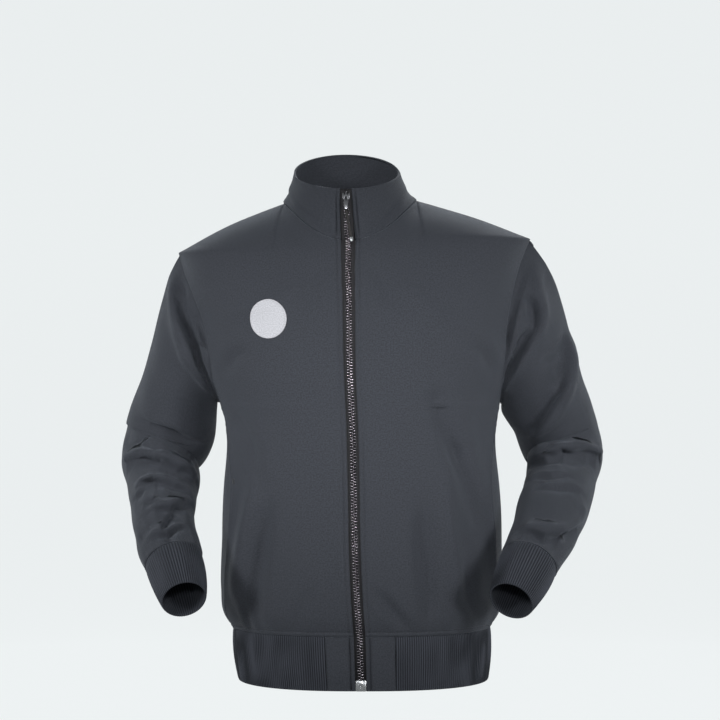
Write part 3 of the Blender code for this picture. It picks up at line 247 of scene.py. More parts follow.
# Largest folds of the body, in front view: from one point to another, height and half width.
# A trough has a negative height.
FRONT_FOLDS = table("x_from z_from x_to z_to height half_width", [
    (0.103, -0.262, 0.128, -0.330, -0.0035, 0.012),
    (0.128, -0.330, 0.158, -0.420, -0.0030, 0.014),
    (0.140, -0.290, 0.165, -0.390, 0.0020, 0.013),
    (0.086, -0.425, 0.094, -0.530, -0.0025, 0.013),
    (-0.135, -0.400, -0.160, -0.510, 0.0025, 0.014),
    (-0.120, -0.460, -0.128, -0.530, -0.0020, 0.012),
])
BACK_FOLDS = table("x_from z_from x_to z_to height half_width", [
    (-0.150, -0.270, -0.105, -0.390, -0.0040, 0.016),
    (0.158, -0.270, 0.110, -0.400, -0.0040, 0.016),
    (-0.060, -0.440, -0.085, -0.540, -0.0030, 0.014),
    (0.070, -0.430, 0.055, -0.540, -0.0030, 0.015),
    (-0.010, -0.470, -0.004, -0.545, 0.0025, 0.014),
])
# Largest folds of a sleeve: share of its length, turn round it (0 underarm, 0.25 front, 0.5 outer
# line, 0.75 back), height and half width
SLEEVE_FOLDS = {
    RIGHT: table("share_from turn_from share_to turn_to height half_width", [
        (0.055, 0.44, 0.125, 0.27, -0.0045, 0.012),
        (0.125, 0.27, 0.130, 0.16, -0.0035, 0.011),
        (0.600, 0.42, 0.690, 0.25, -0.0050, 0.011),
        (0.690, 0.25, 0.700, 0.08, -0.0050, 0.011),
        (0.490, 0.36, 0.620, 0.24, -0.0035, 0.011),
        (0.550, 0.40, 0.655, 0.26, 0.0030, 0.010),
        (0.750, 0.34, 0.770, 0.12, -0.0030, 0.011),
        (0.870, 0.30, 0.860, 0.12, -0.0030, 0.010),
        (0.930, 0.40, 0.920, 0.20, 0.0030, 0.010),
        (0.580, 0.86, 0.570, 0.62, -0.0045, 0.012),
        (0.680, 0.84, 0.660, 0.66, -0.0035, 0.011),
        (0.200, 0.66, 0.380, 0.80, -0.0045, 0.014),
    ]),
    LEFT: table("share_from turn_from share_to turn_to height half_width", [
        (0.040, 0.45, 0.105, 0.37, -0.0045, 0.011),
        (0.240, 0.47, 0.290, 0.33, -0.0055, 0.013),
        (0.290, 0.33, 0.390, 0.17, -0.0055, 0.013),
        (0.180, 0.33, 0.225, 0.47, 0.0035, 0.013),
        (0.580, 0.41, 0.655, 0.25, -0.0050, 0.011),
        (0.655, 0.25, 0.620, 0.08, -0.0045, 0.011),
        (0.620, 0.40, 0.700, 0.28, 0.0030, 0.010),
        (0.700, 0.28, 0.700, 0.10, -0.0025, 0.010),
        (0.810, 0.43, 0.920, 0.38, -0.0035, 0.012),
        (0.920, 0.38, 0.960, 0.20, -0.0035, 0.011),
        (0.580, 0.86, 0.570, 0.62, -0.0045, 0.012),
        (0.700, 0.84, 0.670, 0.64, -0.0035, 0.011),
        (0.200, 0.66, 0.380, 0.80, -0.0045, 0.014),
    ]),
}
SLEEVE_LENGTH = 0.56      # turns a share of the sleeve into a length for the folds
SLEEVE_GIRTH = 0.33       # turns a turn round the sleeve into a length for the folds
SLEEVE_SCALE = (SLEEVE_LENGTH, SLEEVE_GIRTH)

# Badge on the wearer's right chest
BADGE_X, BADGE_Z = -0.1134, -0.1578
BADGE_HALF_WIDTH, BADGE_HALF_HEIGHT = 0.0235, 0.025
BADGE_WALL = 0.0010
BADGE_SIDES = 160
BADGE_RADII = np.array([0.0004, 0.003, 0.15, 0.3, 0.45, 0.6, 0.74, 0.84,
                        0.885, 0.90, 0.92, 0.945, 0.965, 0.985, 1.0])

# Slider, pull and retainer of the zip
SLIDER_HEIGHT = 0.003     # of the slider's middle
SLIDER_HALF_LENGTH = 0.0055
SLIDER_PLATE = 0.0011
BAIL_RISE = 0.0031        # from the slider's plate to the bail's axis
PULL_END_X = -0.0066      # the pull hangs to its tip here
PULL_LENGTH = 0.0195
PULL_WALL = 0.0012
CORD_RADIUS, CORD_LENGTH = 0.0016, 0.037
TIP_RADIUS, TIP_LENGTH = 0.0023, 0.0070
PULL_OUTLINE = (
    (-0.0011, -0.0019), (0.0011, -0.0019), (0.0016, -0.0045), (0.0027, -0.0068), (0.0028, -0.0105),
    (0.0026, -0.0170), (0.0020, -0.0192), (0.0, -0.0195), (-0.0020, -0.0192), (-0.0026, -0.0170),
    (-0.0028, -0.0105), (-0.0027, -0.0068), (-0.0016, -0.0045),
)
PULL_MIDDLE = 0.0107      # from the bail's axis to the middle of the tab
# Share down the cord, its width and its depth, in cord radii
CORD_RINGS = (
    (0.0, 0.70, 0.55), (0.02, 0.95, 0.75), (0.10, 1.0, 0.8), (0.30, 0.80, 0.75), (0.50, 0.85, 0.8),
    (0.66, 1.10, 0.9), (0.80, 1.30, 1.0), (0.92, 1.25, 1.0), (0.985, 0.95, 0.9), (1.0, 0.75, 0.7),
)
# Share down the tip and its radius, in tip radii
TIP_RINGS = ((0.0, 0.62), (0.05, 0.80), (0.22, 0.98), (0.34, 0.90), (0.46, 1.0), (0.80, 0.97),
             (0.95, 0.78), (1.0, 0.5))
PULL_LEAN = 15            # degrees forward of straight down, along the collar's front
BOX_HALF_WIDTH, BOX_TOP, BOX_RISE = 0.0069, -0.6205, 0.0012

# Creases of the worn cloth: depth and half width in millimetres, the side where the cloth is fuller
# (1 left of the run, -1 right of it, 0 neither), then the run's places. A ridge has a negative depth.
# On the body the places are x and z. On a sleeve they are its share and turn.
FRONT_CREASES = [
    (5.0, 10, 0, [(0.102, -0.264), (0.122, -0.321), (0.142, -0.366), (0.162, -0.440)]),
    (7.5, 12, 0, [(0.085, -0.400), (0.089, -0.475), (0.094, -0.540)]),
    (-4.5, 10, 0, [(0.112, -0.360), (0.121, -0.440), (0.134, -0.510)]),
    (6.5, 7, 0, [(0.026, -0.506), (0.045, -0.531), (0.064, -0.555)]),
    (-6.5, 12, 0, [(-0.128, -0.350), (-0.146, -0.440), (-0.163, -0.515)]),
    (6.0, 10, 0, [(-0.116, -0.400), (-0.128, -0.480), (-0.141, -0.545)]),
    (3.8, 10, 0, [(-0.160, -0.275), (-0.140, -0.315), (-0.126, -0.372)]),
    (3.2, 8, 0, [(-0.172, -0.225), (-0.158, -0.205), (-0.140, -0.198)]),
    (3.2, 8, 0, [(0.176, -0.222), (0.163, -0.200), (0.146, -0.192)]),
    (-2.3, 10, 0, [(0.060, -0.110), (0.100, -0.150), (0.150, -0.172)]),
    (-2.3, 10, 0, [(-0.070, -0.112), (-0.115, -0.140), (-0.165, -0.150)]),
    (2.6, 9, 0, [(0.020, -0.088), (0.035, -0.108), (0.052, -0.150)]),
    (2.3, 9, 0, [(-0.045, -0.088), (-0.060, -0.112), (-0.072, -0.150)]),
    (3.5, 8, 0, [(0.140, -0.470), (0.147, -0.520), (0.158, -0.550)]),
    (3.0, 8, 0, [(-0.060, -0.500), (-0.072, -0.535), (-0.080, -0.556)]),
    (2.5, 9, 0, [(-0.040, -0.440), (-0.030, -0.500), (-0.024, -0.548)]),
]
BACK_CREASES = [
    (5.8, 12, 0, [(-0.168, -0.262), (-0.135, -0.305), (-0.098, -0.385)]),
    (5.8, 12, 0, [(0.176, -0.262), (0.140, -0.310), (0.106, -0.395)]),
    (-3.8, 12, 0, [(-0.150, -0.330), (-0.120, -0.390), (-0.110, -0.450)]),
    (4.6, 11, 0, [(-0.060, -0.440), (-0.074, -0.490), (-0.085, -0.545)]),
    (4.6, 12, 0, [(0.070, -0.430), (0.060, -0.490), (0.055, -0.545)]),
    (-3.5, 11, 0, [(-0.012, -0.465), (-0.006, -0.505), (-0.003, -0.548)]),
    (3.8, 10, 0, [(0.130, -0.450), (0.126, -0.500), (0.134, -0.548)]),
    (3.0, 10, 0, [(-0.135, -0.470), (-0.130, -0.515), (-0.138, -0.550)]),
    (3.2, 12, 0, [(-0.165, -0.130), (-0.110, -0.120), (-0.060, -0.135)]),
    (3.2, 12, 0, [(0.160, -0.120), (0.105, -0.112), (0.050, -0.130)]),
]
SLEEVE_CREASES = {
    RIGHT: [
        (14.0, 7, 1, [(0.045, 0.425), (0.062, 0.372), (0.074, 0.317),
                      (0.088, 0.257), (0.102, 0.212), (0.09, 0.12)]),
        (5.0, 4, -1, [(0.062, 0.262), (0.042, 0.232), (0.022, 0.200)]),
        (5.5, 5, 1, [(0.036, 0.320), (0.031, 0.260), (0.018, 0.205)]),
        (4.0, 4, 1, [(0.028, 0.440), (0.036, 0.392)]),
        (11.5, 8, -1, [(0.600, 0.420), (0.635, 0.354), (0.671, 0.313),
                       (0.704, 0.252), (0.715, 0.170), (0.69, 0.05)]),
        (9.0, 9, -1, [(0.375, 0.330), (0.382, 0.245), (0.406, 0.194), (0.435, 0.12)]),
        (8.5, 6, -1, [(0.758, 0.370), (0.758, 0.304), (0.770, 0.253), (0.785, 0.180), (0.78, 0.09)]),
        (4.5, 5, -1, [(0.781, 0.412), (0.783, 0.340)]),
        (4.0, 5, -1, [(0.824, 0.350), (0.848, 0.272)]),
        (9.5, 6, -1, [(0.868, 0.320), (0.881, 0.209), (0.850, 0.15), (0.80, 0.05)]),
        (5.5, 5, -1, [(0.948, 0.280), (0.911, 0.236), (0.885, 0.190)]),
        (7.5, 5, -1, [(0.955, 0.355), (0.968, 0.261), (0.940, 0.155)]),
        (7.0, 9, 1, [(0.500, 0.68), (0.545, 0.78), (0.530, 0.90)]),
        (8.0, 9, 1, [(0.590, 0.62), (0.628, 0.72), (0.620, 0.86)]),
        (5.5, 8, 1, [(0.700, 0.64), (0.712, 0.76), (0.690, 0.86)]),
        (6.0, 11, -1, [(0.120, 0.62), (0.250, 0.70), (0.340, 0.80)]),
        (5.0, 7, 1, [(0.860, 0.60), (0.905, 0.72), (0.890, 0.84)]),
    ],
    LEFT: [
        (10.5, 7, 1, [(0.045, 0.395), (0.062, 0.395), (0.085, 0.385), (0.102, 0.345)]),
        (8.0, 6, -1, [(0.088, 0.335), (0.074, 0.300), (0.063, 0.255), (0.060, 0.200)]),
        (11.0, 8, 1, [(0.100, 0.340), (0.098, 0.27), (0.082, 0.19), (0.045, 0.09)]),
        (8.0, 5, 1, [(0.021, 0.415), (0.023, 0.344), (0.020, 0.246), (0.014, 0.190)]),
        (5.0, 5, -1, [(0.056, 0.209), (0.032, 0.117)]),
        (13.0, 11, 1, [(0.222, 0.440), (0.253, 0.378), (0.288, 0.316), (0.325, 0.258), (0.386, 0.150)]),
        (3.5, 6, 0, [(0.213, 0.437), (0.179, 0.316)]),
        (11.5, 8, -1, [(0.590, 0.410), (0.611, 0.358), (0.645, 0.294),
                       (0.670, 0.239), (0.680, 0.176), (0.65, 0.07)]),
        (6.0, 5, -1, [(0.735, 0.290), (0.750, 0.220), (0.740, 0.110)]),
        (4.5, 6, -1, [(0.760, 0.380), (0.790, 0.280), (0.800, 0.170)]),
        (10.5, 8, -1, [(0.850, 0.450), (0.890, 0.415), (0.940, 0.369), (0.968, 0.300), (0.965, 0.180)]),
        (7.0, 9, 1, [(0.500, 0.68), (0.548, 0.79), (0.535, 0.90)]),
        (8.0, 9, 1, [(0.590, 0.61), (0.625, 0.73), (0.620, 0.86)]),
        (5.5, 8, 1, [(0.705, 0.65), (0.715, 0.77), (0.690, 0.88)]),
        (6.0, 11, -1, [(0.110, 0.63), (0.240, 0.70), (0.350, 0.79)]),
        (5.0, 7, 1, [(0.850, 0.62), (0.900, 0.73), (0.895, 0.84)]),
    ],
}
# On the collar the places are the angle from the front and the rise
COLLAR_CREASES = [
    (2.6, 6, 0, [(14, 0.02), (30, 0.22), (50, 0.30)]),
    (2.2, 6, 0, [(-14, 0.02), (-32, 0.25), (-52, 0.32)]),
    (1.9, 6, 0, [(60, 0.10), (80, 0.30), (95, 0.34)]),
    (1.9, 6, 0, [(-62, 0.10), (-82, 0.28), (-98, 0.34)]),
    (1.6, 7, 0, [(120, 0.15), (150, 0.30), (175, 0.20)]),
]
CLOTH_COLOUR = (0.046, 0.050, 0.062)
RIB_COLOUR = (0.064, 0.069, 0.086)
# painted shade in the grooves between the ribs
RIB_GROOVE_SHADE = (0.013, 0.015, 0.020)
TAPE_COLOUR = (0.021, 0.020, 0.023)
CORD_COLOUR = (0.024, 0.021, 0.020)
METAL_COLOUR = (0.80, 0.81, 0.83)
NICKEL_COLOUR = (0.34, 0.34, 0.36)
TEETH_COLOUR = (0.200, 0.190, 0.195)
TEETH_TINT = (0.205, 0.180, 0.212)
BADGE_COLOUR = (0.60, 0.595, 0.63)
THREAD_COLOUR = (0.024, 0.026, 0.033)
SHEEN_TINT = (0.62, 0.68, 0.78)

# Studio
PAPER = (0.10, 0.105, 0.106)
PAPER_GLOW = (0.78, 0.81, 0.815)
FLOOR = -1.05
BACKDROP = 3.7            # radius at which the floor starts to curve up
CURVE = 1.3               # radius of that curve
PAPER_TOP = 4.6
GLOW_NEAR, GLOW_FAR = 0.2, 1.8    # the glow rises between these places behind the jacket
GLOW_FRONT = 0.24         # glow of the half in front of the jacket, of 1 behind it
# Name, place, aim, size, watts, spread in degrees and colour
LIGHTS = (
    ("left", (-1.5, -1.35, 0.10), (-0.26, -0.05, -0.31), (0.45, 0.6), 0.96, 36, (0.97, 0.99, 1.0)),
    ("right", (1.5, -1.35, 0.10), (0.26, -0.05, -0.31), (0.45, 0.6), 0.96, 36, (0.97, 0.99, 1.0)),
    ("front", (0.0, -2.6, 0.24), (0.0, -0.05, -0.24), (0.4, 0.4), 0.52, 20, (0.97, 0.99, 1.0)),
    ("back", (0.6, 2.2, 1.6), (0.0, 0.0, -0.25), (1.6, 1.0), 20.0, 180, (0.98, 0.99, 1.0)),
)
SKY = (0.80, 0.84, 0.88)
SKY_STRENGTH = 0.05
CAMERA_PLACE = (0.004, -3.0, -0.2104)
CAMERA_LENS, CAMERA_SENSOR = 111.9, 36.0

# The cut of each cloth piece that shows, laid flat: width, length and area in metres, how it is held
# and what it hangs from. A tube is measured all round.
SHEETS = (
    ("front_right_panel", 0.305, 0.640, 0.124, "hung", ("collar_stand",)),
    ("front_left_panel", 0.315, 0.645, 0.133, "hung", ("collar_stand",)),
    ("back_panel", 0.690, 0.650, 0.345, "hung", ("collar_stand",)),
    ("sleeve_right_tube", 0.510, 0.520, 0.140, "hung", ("front_right_panel", "back_panel")),
    ("sleeve_left_tube", 0.530, 0.555, 0.148, "hung", ("front_left_panel", "back_panel")),
    ("collar_stand", 0.545, 0.070, 0.026, "folded", ("back_panel",)),
    ("hem_rib_band", 0.895, 0.070, None, "stretched",
     ("front_right_panel", "front_left_panel", "back_panel")),
    ("hem_tab_right_cloth", 0.047, 0.070, None, "hung", ("front_right_panel",)),
    ("hem_tab_left_cloth", 0.047, 0.070, None, "hung", ("front_left_panel",)),
    ("cuff_right_band", 0.226, 0.070, 0.0125, "stretched", ("sleeve_right_tube",)),
    ("cuff_left_band", 0.226, 0.070, 0.0125, "stretched", ("sleeve_left_tube",)),
    ("zip_tape_right_weave", 0.013, 0.700, None, "hung", ("front_right_panel",)),
    ("zip_tape_left_weave", 0.013, 0.700, None, "hung", ("front_left_panel",)),
    ("pocket_facing_right_cloth", 0.037, 0.150, None, "hung", ("front_right_panel",)),
    ("pocket_facing_left_cloth", 0.037, 0.150, None, "hung", ("front_left_panel",)),
    ("badge_patch", 0.049, 0.052, 0.0020, "laid", ("front_right_panel",)),
)


def smooth(f):
    """A rise from 0 to 1 that is level at both ends."""
    return f * f * (3 - 2 * f)


def curve(rows, key, column, at):
    """The column's value at a place in the key column, on a smooth curve through the rows."""
    knots, values = rows[key], rows[column]
    slopes = np.gradient(values, knots)
    at = np.asarray(at, float)
    i = np.clip(np.searchsorted(knots, at, side="right") - 1, 0, len(knots) - 2)
    step = knots[i + 1] - knots[i]
    f = (at - knots[i]) / step
    rise = smooth(f)
    bend = step * (slopes[i] * f * (1 - f) ** 2 - slopes[i + 1] * f * f * (1 - f))
    return values[i] * (1 - rise) + values[i + 1] * rise + bend


def mix(a, b, f):
    """From a (0) to b (1)."""
    return a + (b - a) * f


def unit(v):
    """Vectors made 1 long."""
    return v / np.maximum(np.linalg.norm(v, axis=-1, keepdims=True), 1e-12)


def full(x):
    """A sine or cosine made fuller, which rounds a section out towards a rectangle."""
    return np.sign(x) * np.abs(x) ** SECTION_POWER


def stack(x, y, z):
    """Points from their three places, each a number or an array."""
    return np.stack(np.broadcast_arrays(x, y, z), axis=-1)


# Lines that pieces share


def neckline(angle):
    """The neck seam at an angle from the front, in degrees, positive to the wearer's left."""
    a = np.radians(np.asarray(angle, float))
    right = np.sin(a) < 0
    width = np.where(right, NECK_CENTRE - NECK_POINT[RIGHT][0], NECK_POINT[LEFT][0] - NECK_CENTRE)
    side_z = np.where(right, NECK_POINT[RIGHT][2], NECK_POINT[LEFT][2])
    ahead = np.cos(a) > 0
    depth = np.where(ahead, NECK_DEPTH[FRONT], NECK_DEPTH[BACK])
    middle_z = np.where(ahead, NECK_FRONT, NECK_BACK)
    z = mix(middle_z, side_z, np.sin(a) ** 2)
    return stack(NECK_CENTRE + width * np.sin(a), -depth * np.cos(a), z)


def collar_point(angle, rise):
    """A place on the collar: rise runs from the neck seam (0) to the rim (1)."""
    a = np.radians(np.asarray(angle, float))
    depth = np.where(np.cos(a) > 0, RIM_DEPTH[FRONT], RIM_DEPTH[BACK])
    z = mix(RIM_FRONT, RIM_BACK, (1 - np.cos(a)) / 2)
    rim = stack(RIM_CENTRE + RIM_HALF_WIDTH * np.sin(a), -depth * np.cos(a), z)
    base = neckline(angle)
    plan = np.asarray(rise, float)[..., None] ** COLLAR_FLARE
    flat = mix(base, rim, plan)
    flat[..., 2] = mix(base[..., 2], rim[..., 2], rise)
    return flat


def shoulder(side, share):
    """The shoulder seam, from the neck (0) to the sleeve (1)."""
    start = np.array(NECK_POINT[side])
    end = np.array([ARMHOLE[side][c][-1] for c in ("x", "front", "z")])
    line = mix(start, end, share[..., None])
    line[..., 2] += SHOULDER_CROWN[side] * np.sin(np.pi * share)
    return line


def armhole(side, turn):
    """The armhole seam: turn runs 0 underarm, 0.25 front, 0.5 shoulder, 0.75 back, 1 underarm."""
    turn = np.asarray(turn, float)
    share = 1 - np.abs(1 - 2 * turn)
    rows = ARMHOLE[side]
    x, z, front, back = (curve(rows, "share", c, share) for c in ("x", "z", "front", "back"))
    return stack(x, np.where(turn <= 0.5, front, back), z)


# The body


def middle_line(face, height):
    """Centre and depth of the body at a height, at the zip or at the centre back."""
    rows = ZIP_LINE if face == FRONT else CENTRE_BACK
    return curve(rows, "height", "centre", height), curve(rows, "height", "depth", height)


def lower_body(side, face, across, height):
    """The body between hem and armpit: across runs from the zip or centre back to the side seam."""
    centre, depth = middle_line(face, height)
    edge = curve(BODY_SIDES, "height", "right_edge" if side == RIGHT else "left_edge", height)
    seam = curve(BODY_SIDES, "height", "seam_angle", height)
    angle = np.radians(across * (seam if face == FRONT else 180 - seam))
    other = middle_line(-face, height)[1]
    reach = np.where(np.cos(angle) > 0, depth, other)
    y = face * reach * full(np.cos(angle))
    x = centre + (edge - centre) * full(np.sin(angle))
    if face == FRONT:
        x = x + side * ZIP_HALF_GAP * (1 - full(np.sin(angle)) / full(np.sin(np.radians(seam))))
    return stack(x, y, height)


def plan_of_rows(side, face, across, share):
    """Where the rows above the armpit run in front view, before the neck draws them up."""
    top = NECK_FRONT if face == FRONT else NECK_BACK
    height = mix(ARMPIT, top, share)
    centre = middle_line(face, height)[0]
    if face == FRONT:
        centre = centre + side * ZIP_HALF_GAP
    edge = armhole(side, share / 2)
    seam = np.radians(90 - 30 * share)
    sideways = full(np.sin(across * seam)) / full(np.sin(seam))
    return mix(centre, edge[..., 0], sideways), mix(height, edge[..., 2], sideways)


def body_edge(side, face):
    """The armhole and shoulder seams as one line of points that rises from the armpit to the neck."""
    share = np.linspace(0, 1, 160)
    arm = armhole(side, share / 2 if face == FRONT else 1 - share / 2)
    neck = np.array(NECK_POINT[side])
    above = neck + (-side * NECK_RUN_ON[0], 0.0, NECK_RUN_ON[1])
    return np.concatenate([arm, shoulder(side, share[::-1])[1:], [above]])


def crown(side, face, x, z):
    """Depth of the upper body: each level section is the same full curve, ending at the body's edge."""
    line = body_edge(side, face)
    edge_x, edge_y = (np.interp(z, line[:, 2], line[:, k]) for k in (0, 1))
    centre, depth = middle_line(face, z)
    power = 2 / SECTION_POWER
    back = np.clip(face * edge_y / depth, 0, 0.99)
    reach = np.abs(edge_x - centre) / (1 - back ** power) ** (1 / power)
    out = np.clip(np.abs(x - centre) / reach, 0, 1)
    return face * depth * (1 - out ** power) ** (1 / power)


def upper_body(side, face, across, share):
    """The body from the armpit (share 0) to the neck and shoulder seams (share 1)."""
    x, z = plan_of_rows(side, face, across, share)
    top = top_edge(side, face, across)
    top_x, top_z = plan_of_rows(side, face, across, np.ones_like(share))
    x = x + (top[..., 0] - top_x) * share ** 2.4
    z = z + (top[..., 2] - top_z) * share ** 1.8
    settle = top[..., 1] - crown(side, face, top[..., 0], top[..., 2])
    y = crown(side, face, x, z) + settle * share ** 5
    edge = armhole(side, share / 2 if face == FRONT else 1 - share / 2)
    inside = np.where((across >= 1)[..., None], edge, stack(x, y, z))
    return np.where((share >= 1)[..., None], top, inside)


def top_edge(side, face, across):
    """Neck seam, then shoulder seam, along the top of a body panel."""
    corner = neck_share(face)
    start = zip_angle() if face == FRONT else 180.0
    angle = mix(start, 90.0, np.clip(across / corner, 0, 1))
    along = np.clip((across - corner) / (1 - corner), 0, 1)
    on_neck = (across <= corner)[..., None]
    return np.where(on_neck, neckline(side * angle), shoulder(side, along))


def zip_angle():
    """Angle at the neck seam between the zip's centre line and a front's edge."""
    return math.degrees(math.asin(ZIP_HALF_GAP / RIM_HALF_WIDTH))


def body_point(side, face, across, up):
    """A place on a body panel: up runs hem seam (0), armpit (1), neck and shoulder (2)."""
    low = lower_body(side, face, across, mix(HEM_SEAM, ARMPIT, np.clip(up, 0, 1)))
    high = upper_body(side, face, across, np.clip(up - 1, 0, 1))
    return np.where((up <= 1)[..., None], low, high)


def surface_normal(point, u, v, sign):
    """Outward normal of a surface function, from small steps along it."""
    step = 1e-3
    across = point(np.minimum(u + step, 1), v) - point(np.maximum(u - step, 0), v)
    up = point(u, v + step) - point(u, v - step)
    return sign * unit(np.cross(across, up))


def bump(folds, place, scale):
    """Sum of the folds at a place: each is a rounded ridge or trough along a straight line."""
    total = np.zeros(place[0].shape)
    sx, sy = scale
    for ax, ay, bx, by, height, width in zip(*folds.values()):
        px, py = (place[0] - ax) * sx, (place[1] - ay) * sy
        dx, dy = (bx - ax) * sx, (by - ay) * sy
        along = np.clip((px * dx + py * dy) / (dx * dx + dy * dy), 0, 1)
        away = np.hypot(px - along * dx, py - along * dy)
        total = total + height * np.exp(-(away / width) ** 2)
    return total


def edge_fade(share, margin):
    """0 at both ends of a range from 0 to 1, and 1 from the margin inward."""
    return smooth(np.clip(np.minimum(share, 1 - share) / margin, 0, 1))


def body_surface(side, face, across, up):
    """A body panel with its folds and its pocket's lip."""
    plain = body_point(side, face, across, up)
    sign = side if face == FRONT else -side
    inner = np.clip(up, 0.002, 1.998)
    normal = surface_normal(lambda u, v: body_point(side, face, u, v), across, inner, sign)
    folds = FRONT_FOLDS if face == FRONT else BACK_FOLDS
    relief = bump(folds, (plain[..., 0], plain[..., 2]), (1.0, 1.0)) * edge_fade(up / 2, 0.05)
    relief = relief * np.clip((1 - across) / FOLDS_FROM_EDGE, 0, 1)
    if face == FRONT:
        relief = relief * np.clip(across / FOLDS_FROM_EDGE, 0, 1)
        height = plain[..., 2]
        within = np.clip((height - POCKET_BOTTOM) / (POCKET_TOP - POCKET_BOTTOM), 0, 1)
        slit = np.sin(np.pi * within) ** 0.5 * np.clip((across - 0.9) / 0.1, 0, 1)
        relief = relief + POCKET_LIP * slit
        plain = plain + stack(0 * slit, -POCKET_OPEN * slit, 0 * slit)
    return plain + normal * relief[..., None]


# Sleeves


def sleeve_frame(side, share):
    """Centre, axis, outward and forward directions and half sizes of the sleeve at a share."""
    rows = SLEEVE[side]
    share = np.asarray(share, float)

    def centre(s):
        return stack(*(curve(rows, "share", c, s) for c in ("x", "y", "z")))

    step = 0.01
    axis = unit(centre(np.minimum(share + step, CUFF_END)) - centre(share - step))
    outward = np.zeros_like(axis)
    outward[..., 0] = side
    outward = unit(outward - axis * np.sum(outward * axis, axis=-1, keepdims=True))
    forward = side * np.cross(axis, outward)
    sizes = (curve(rows, "share", c, share) for c in ("half_width", "half_depth"))
    return (centre(share), axis, outward, forward, *sizes)


def sleeve_ring(side, share, turn):
    """A place on the swept part of the sleeve or cuff."""
    centre, _, outward, forward, width, depth = sleeve_frame(side, share)
    a = 2 * np.pi * np.asarray(turn, float)
    return (centre - outward * (width * np.cos(a))[..., None]
            + forward * (depth * np.sin(a))[..., None])


def sleeve_head(side, share, turn):
    """Between the armhole and the swept part, on a smooth bridge."""
    start = armhole(side, turn)
    cap = np.full_like(share, CAP_SHARE)
    end = sleeve_ring(side, cap, turn)
    chord = end - start
    length = np.linalg.norm(chord, axis=-1, keepdims=True)
    down = unit(sleeve_ring(side, cap + 0.01, turn) - end) * length
    out = stack(np.full_like(share, side), 0 * share, 0.3 + 0 * share)
    lift = (1 - np.cos(2 * np.pi * turn)) / 2
    leave = chord + out * (HEAD_FULLNESS[side] * 3 * (0.45 + 0.55 * lift))[..., None]
    f = (share / CAP_SHARE)[..., None]
    return start + chord * smooth(f) + leave * f * (1 - f) ** 2 - down * f * f * (1 - f)


def sleeve_point(side, share, turn):
    """The plain sleeve: its head, then its swept part."""
    ring = sleeve_ring(side, np.maximum(share, CAP_SHARE), turn)
    head = sleeve_head(side, np.clip(share, 0, CAP_SHARE), turn)
    return np.where((share >= CAP_SHARE)[..., None], ring, head)


def sleeve_surface(side, share, turn):
    """The sleeve with its folds."""
    plain = sleeve_point(side, share, turn)
    step = 2e-3
    along = (sleeve_point(side, np.minimum(share + step, 1), turn)
             - sleeve_point(side, np.maximum(share - step, 0), turn))
    around = sleeve_point(side, share, turn + step) - sleeve_point(side, share, turn - step)
    normal = side * unit(np.cross(around, along))
    relief = bump(SLEEVE_FOLDS[side], (share, turn), SLEEVE_SCALE) * edge_fade(share, 0.06)
    return plain + normal * relief[..., None]


# Waistband


def band_point(side, face, across, rise):
    """A place on the waistband: rise runs from its free edge (0) to the hem seam (1)."""
    seam = lower_body(side, face, across, np.full_like(across, HEM_SEAM))
    centre_top, depth_top = middle_line(FRONT, HEM_SEAM)
    centre_low, depth_low = middle_line(FRONT, BAND_BOTTOM)
    draw = float(depth_low / depth_top)
    low = stack(centre_low + (seam[..., 0] - centre_top) * draw, seam[..., 1] * draw,
                np.full_like(across, BAND_BOTTOM))
    return mix(low, seam, rise)


def tab_share():
    """How far across a front its waistband tab reaches."""
    across = np.linspace(0, 1, 400)
    x = lower_body(LEFT, FRONT, across, np.full_like(across, HEM_SEAM))[..., 0]
    return float(np.interp(TAB_LENGTH, x - x[0], across))


def run_along(line):
    """The length run at each point of a polyline, from 0."""
    steps = np.linalg.norm(np.diff(line, axis=0), axis=1)
    return np.concatenate([[0], np.cumsum(steps)])


def read_line(values, run, at):
    """Points or directions along a line, at lengths of its run."""
    return stack(*(np.interp(at, run, values[:, k]) for k in range(3)))


def even_points(line, count):
    """A polyline read again at even lengths."""
    run = run_along(line)
    return read_line(line, run, np.linspace(0, run[-1], count))


def rib_line(rise):
    """The rib's path from the left tab round the back to the right tab."""
    start = tab_share()
    ahead, behind = np.linspace(start, 1, 120), np.linspace(0, 1, 120)
    pieces = [band_point(LEFT, FRONT, ahead, rise), band_point(LEFT, BACK, behind[::-1], rise),
              band_point(RIGHT, BACK, behind[1:], rise), band_point(RIGHT, FRONT, ahead[::-1], rise)]
    return np.concatenate(pieces)


def grid_normals(grid, ring, inside):
    """Outward unit normals of a grid of points, pointing away from the inside points."""
    if ring:
        around = np.roll(grid, -1, axis=1) - np.roll(grid, 1, axis=1)
    else:
        around = np.gradient(grid, axis=1)
    normal = unit(np.cross(around, np.gradient(grid, axis=0)))
    outward = np.sum(normal * (grid - inside)) > 0
    return normal if outward else -normal


def square_to(direction, seam):
    """Unit direction with its part along the seam taken out."""
    seam = unit(seam)
    return unit(direction - seam * np.dot(direction, seam))


def seam_key(point):
    """A name for a place, the same for two pieces that meet there."""
    return tuple(int(round(c * 2e4)) for c in point)


# Fine grids of the cloth pieces


def shares(count, near_start=(), near_end=()):
    """Even shares from 0 to 1, with extra ones close to an end."""
    every = np.concatenate([np.linspace(0, 1, count + 1), near_start, 1 - np.array(near_end)])
    return np.unique(np.round(every, 6))


def neck_share(face):
    """How far across a body panel its neck seam reaches."""
    return NECK_COLUMNS[face] / (NECK_COLUMNS[face] + SHOULDER_COLUMNS)


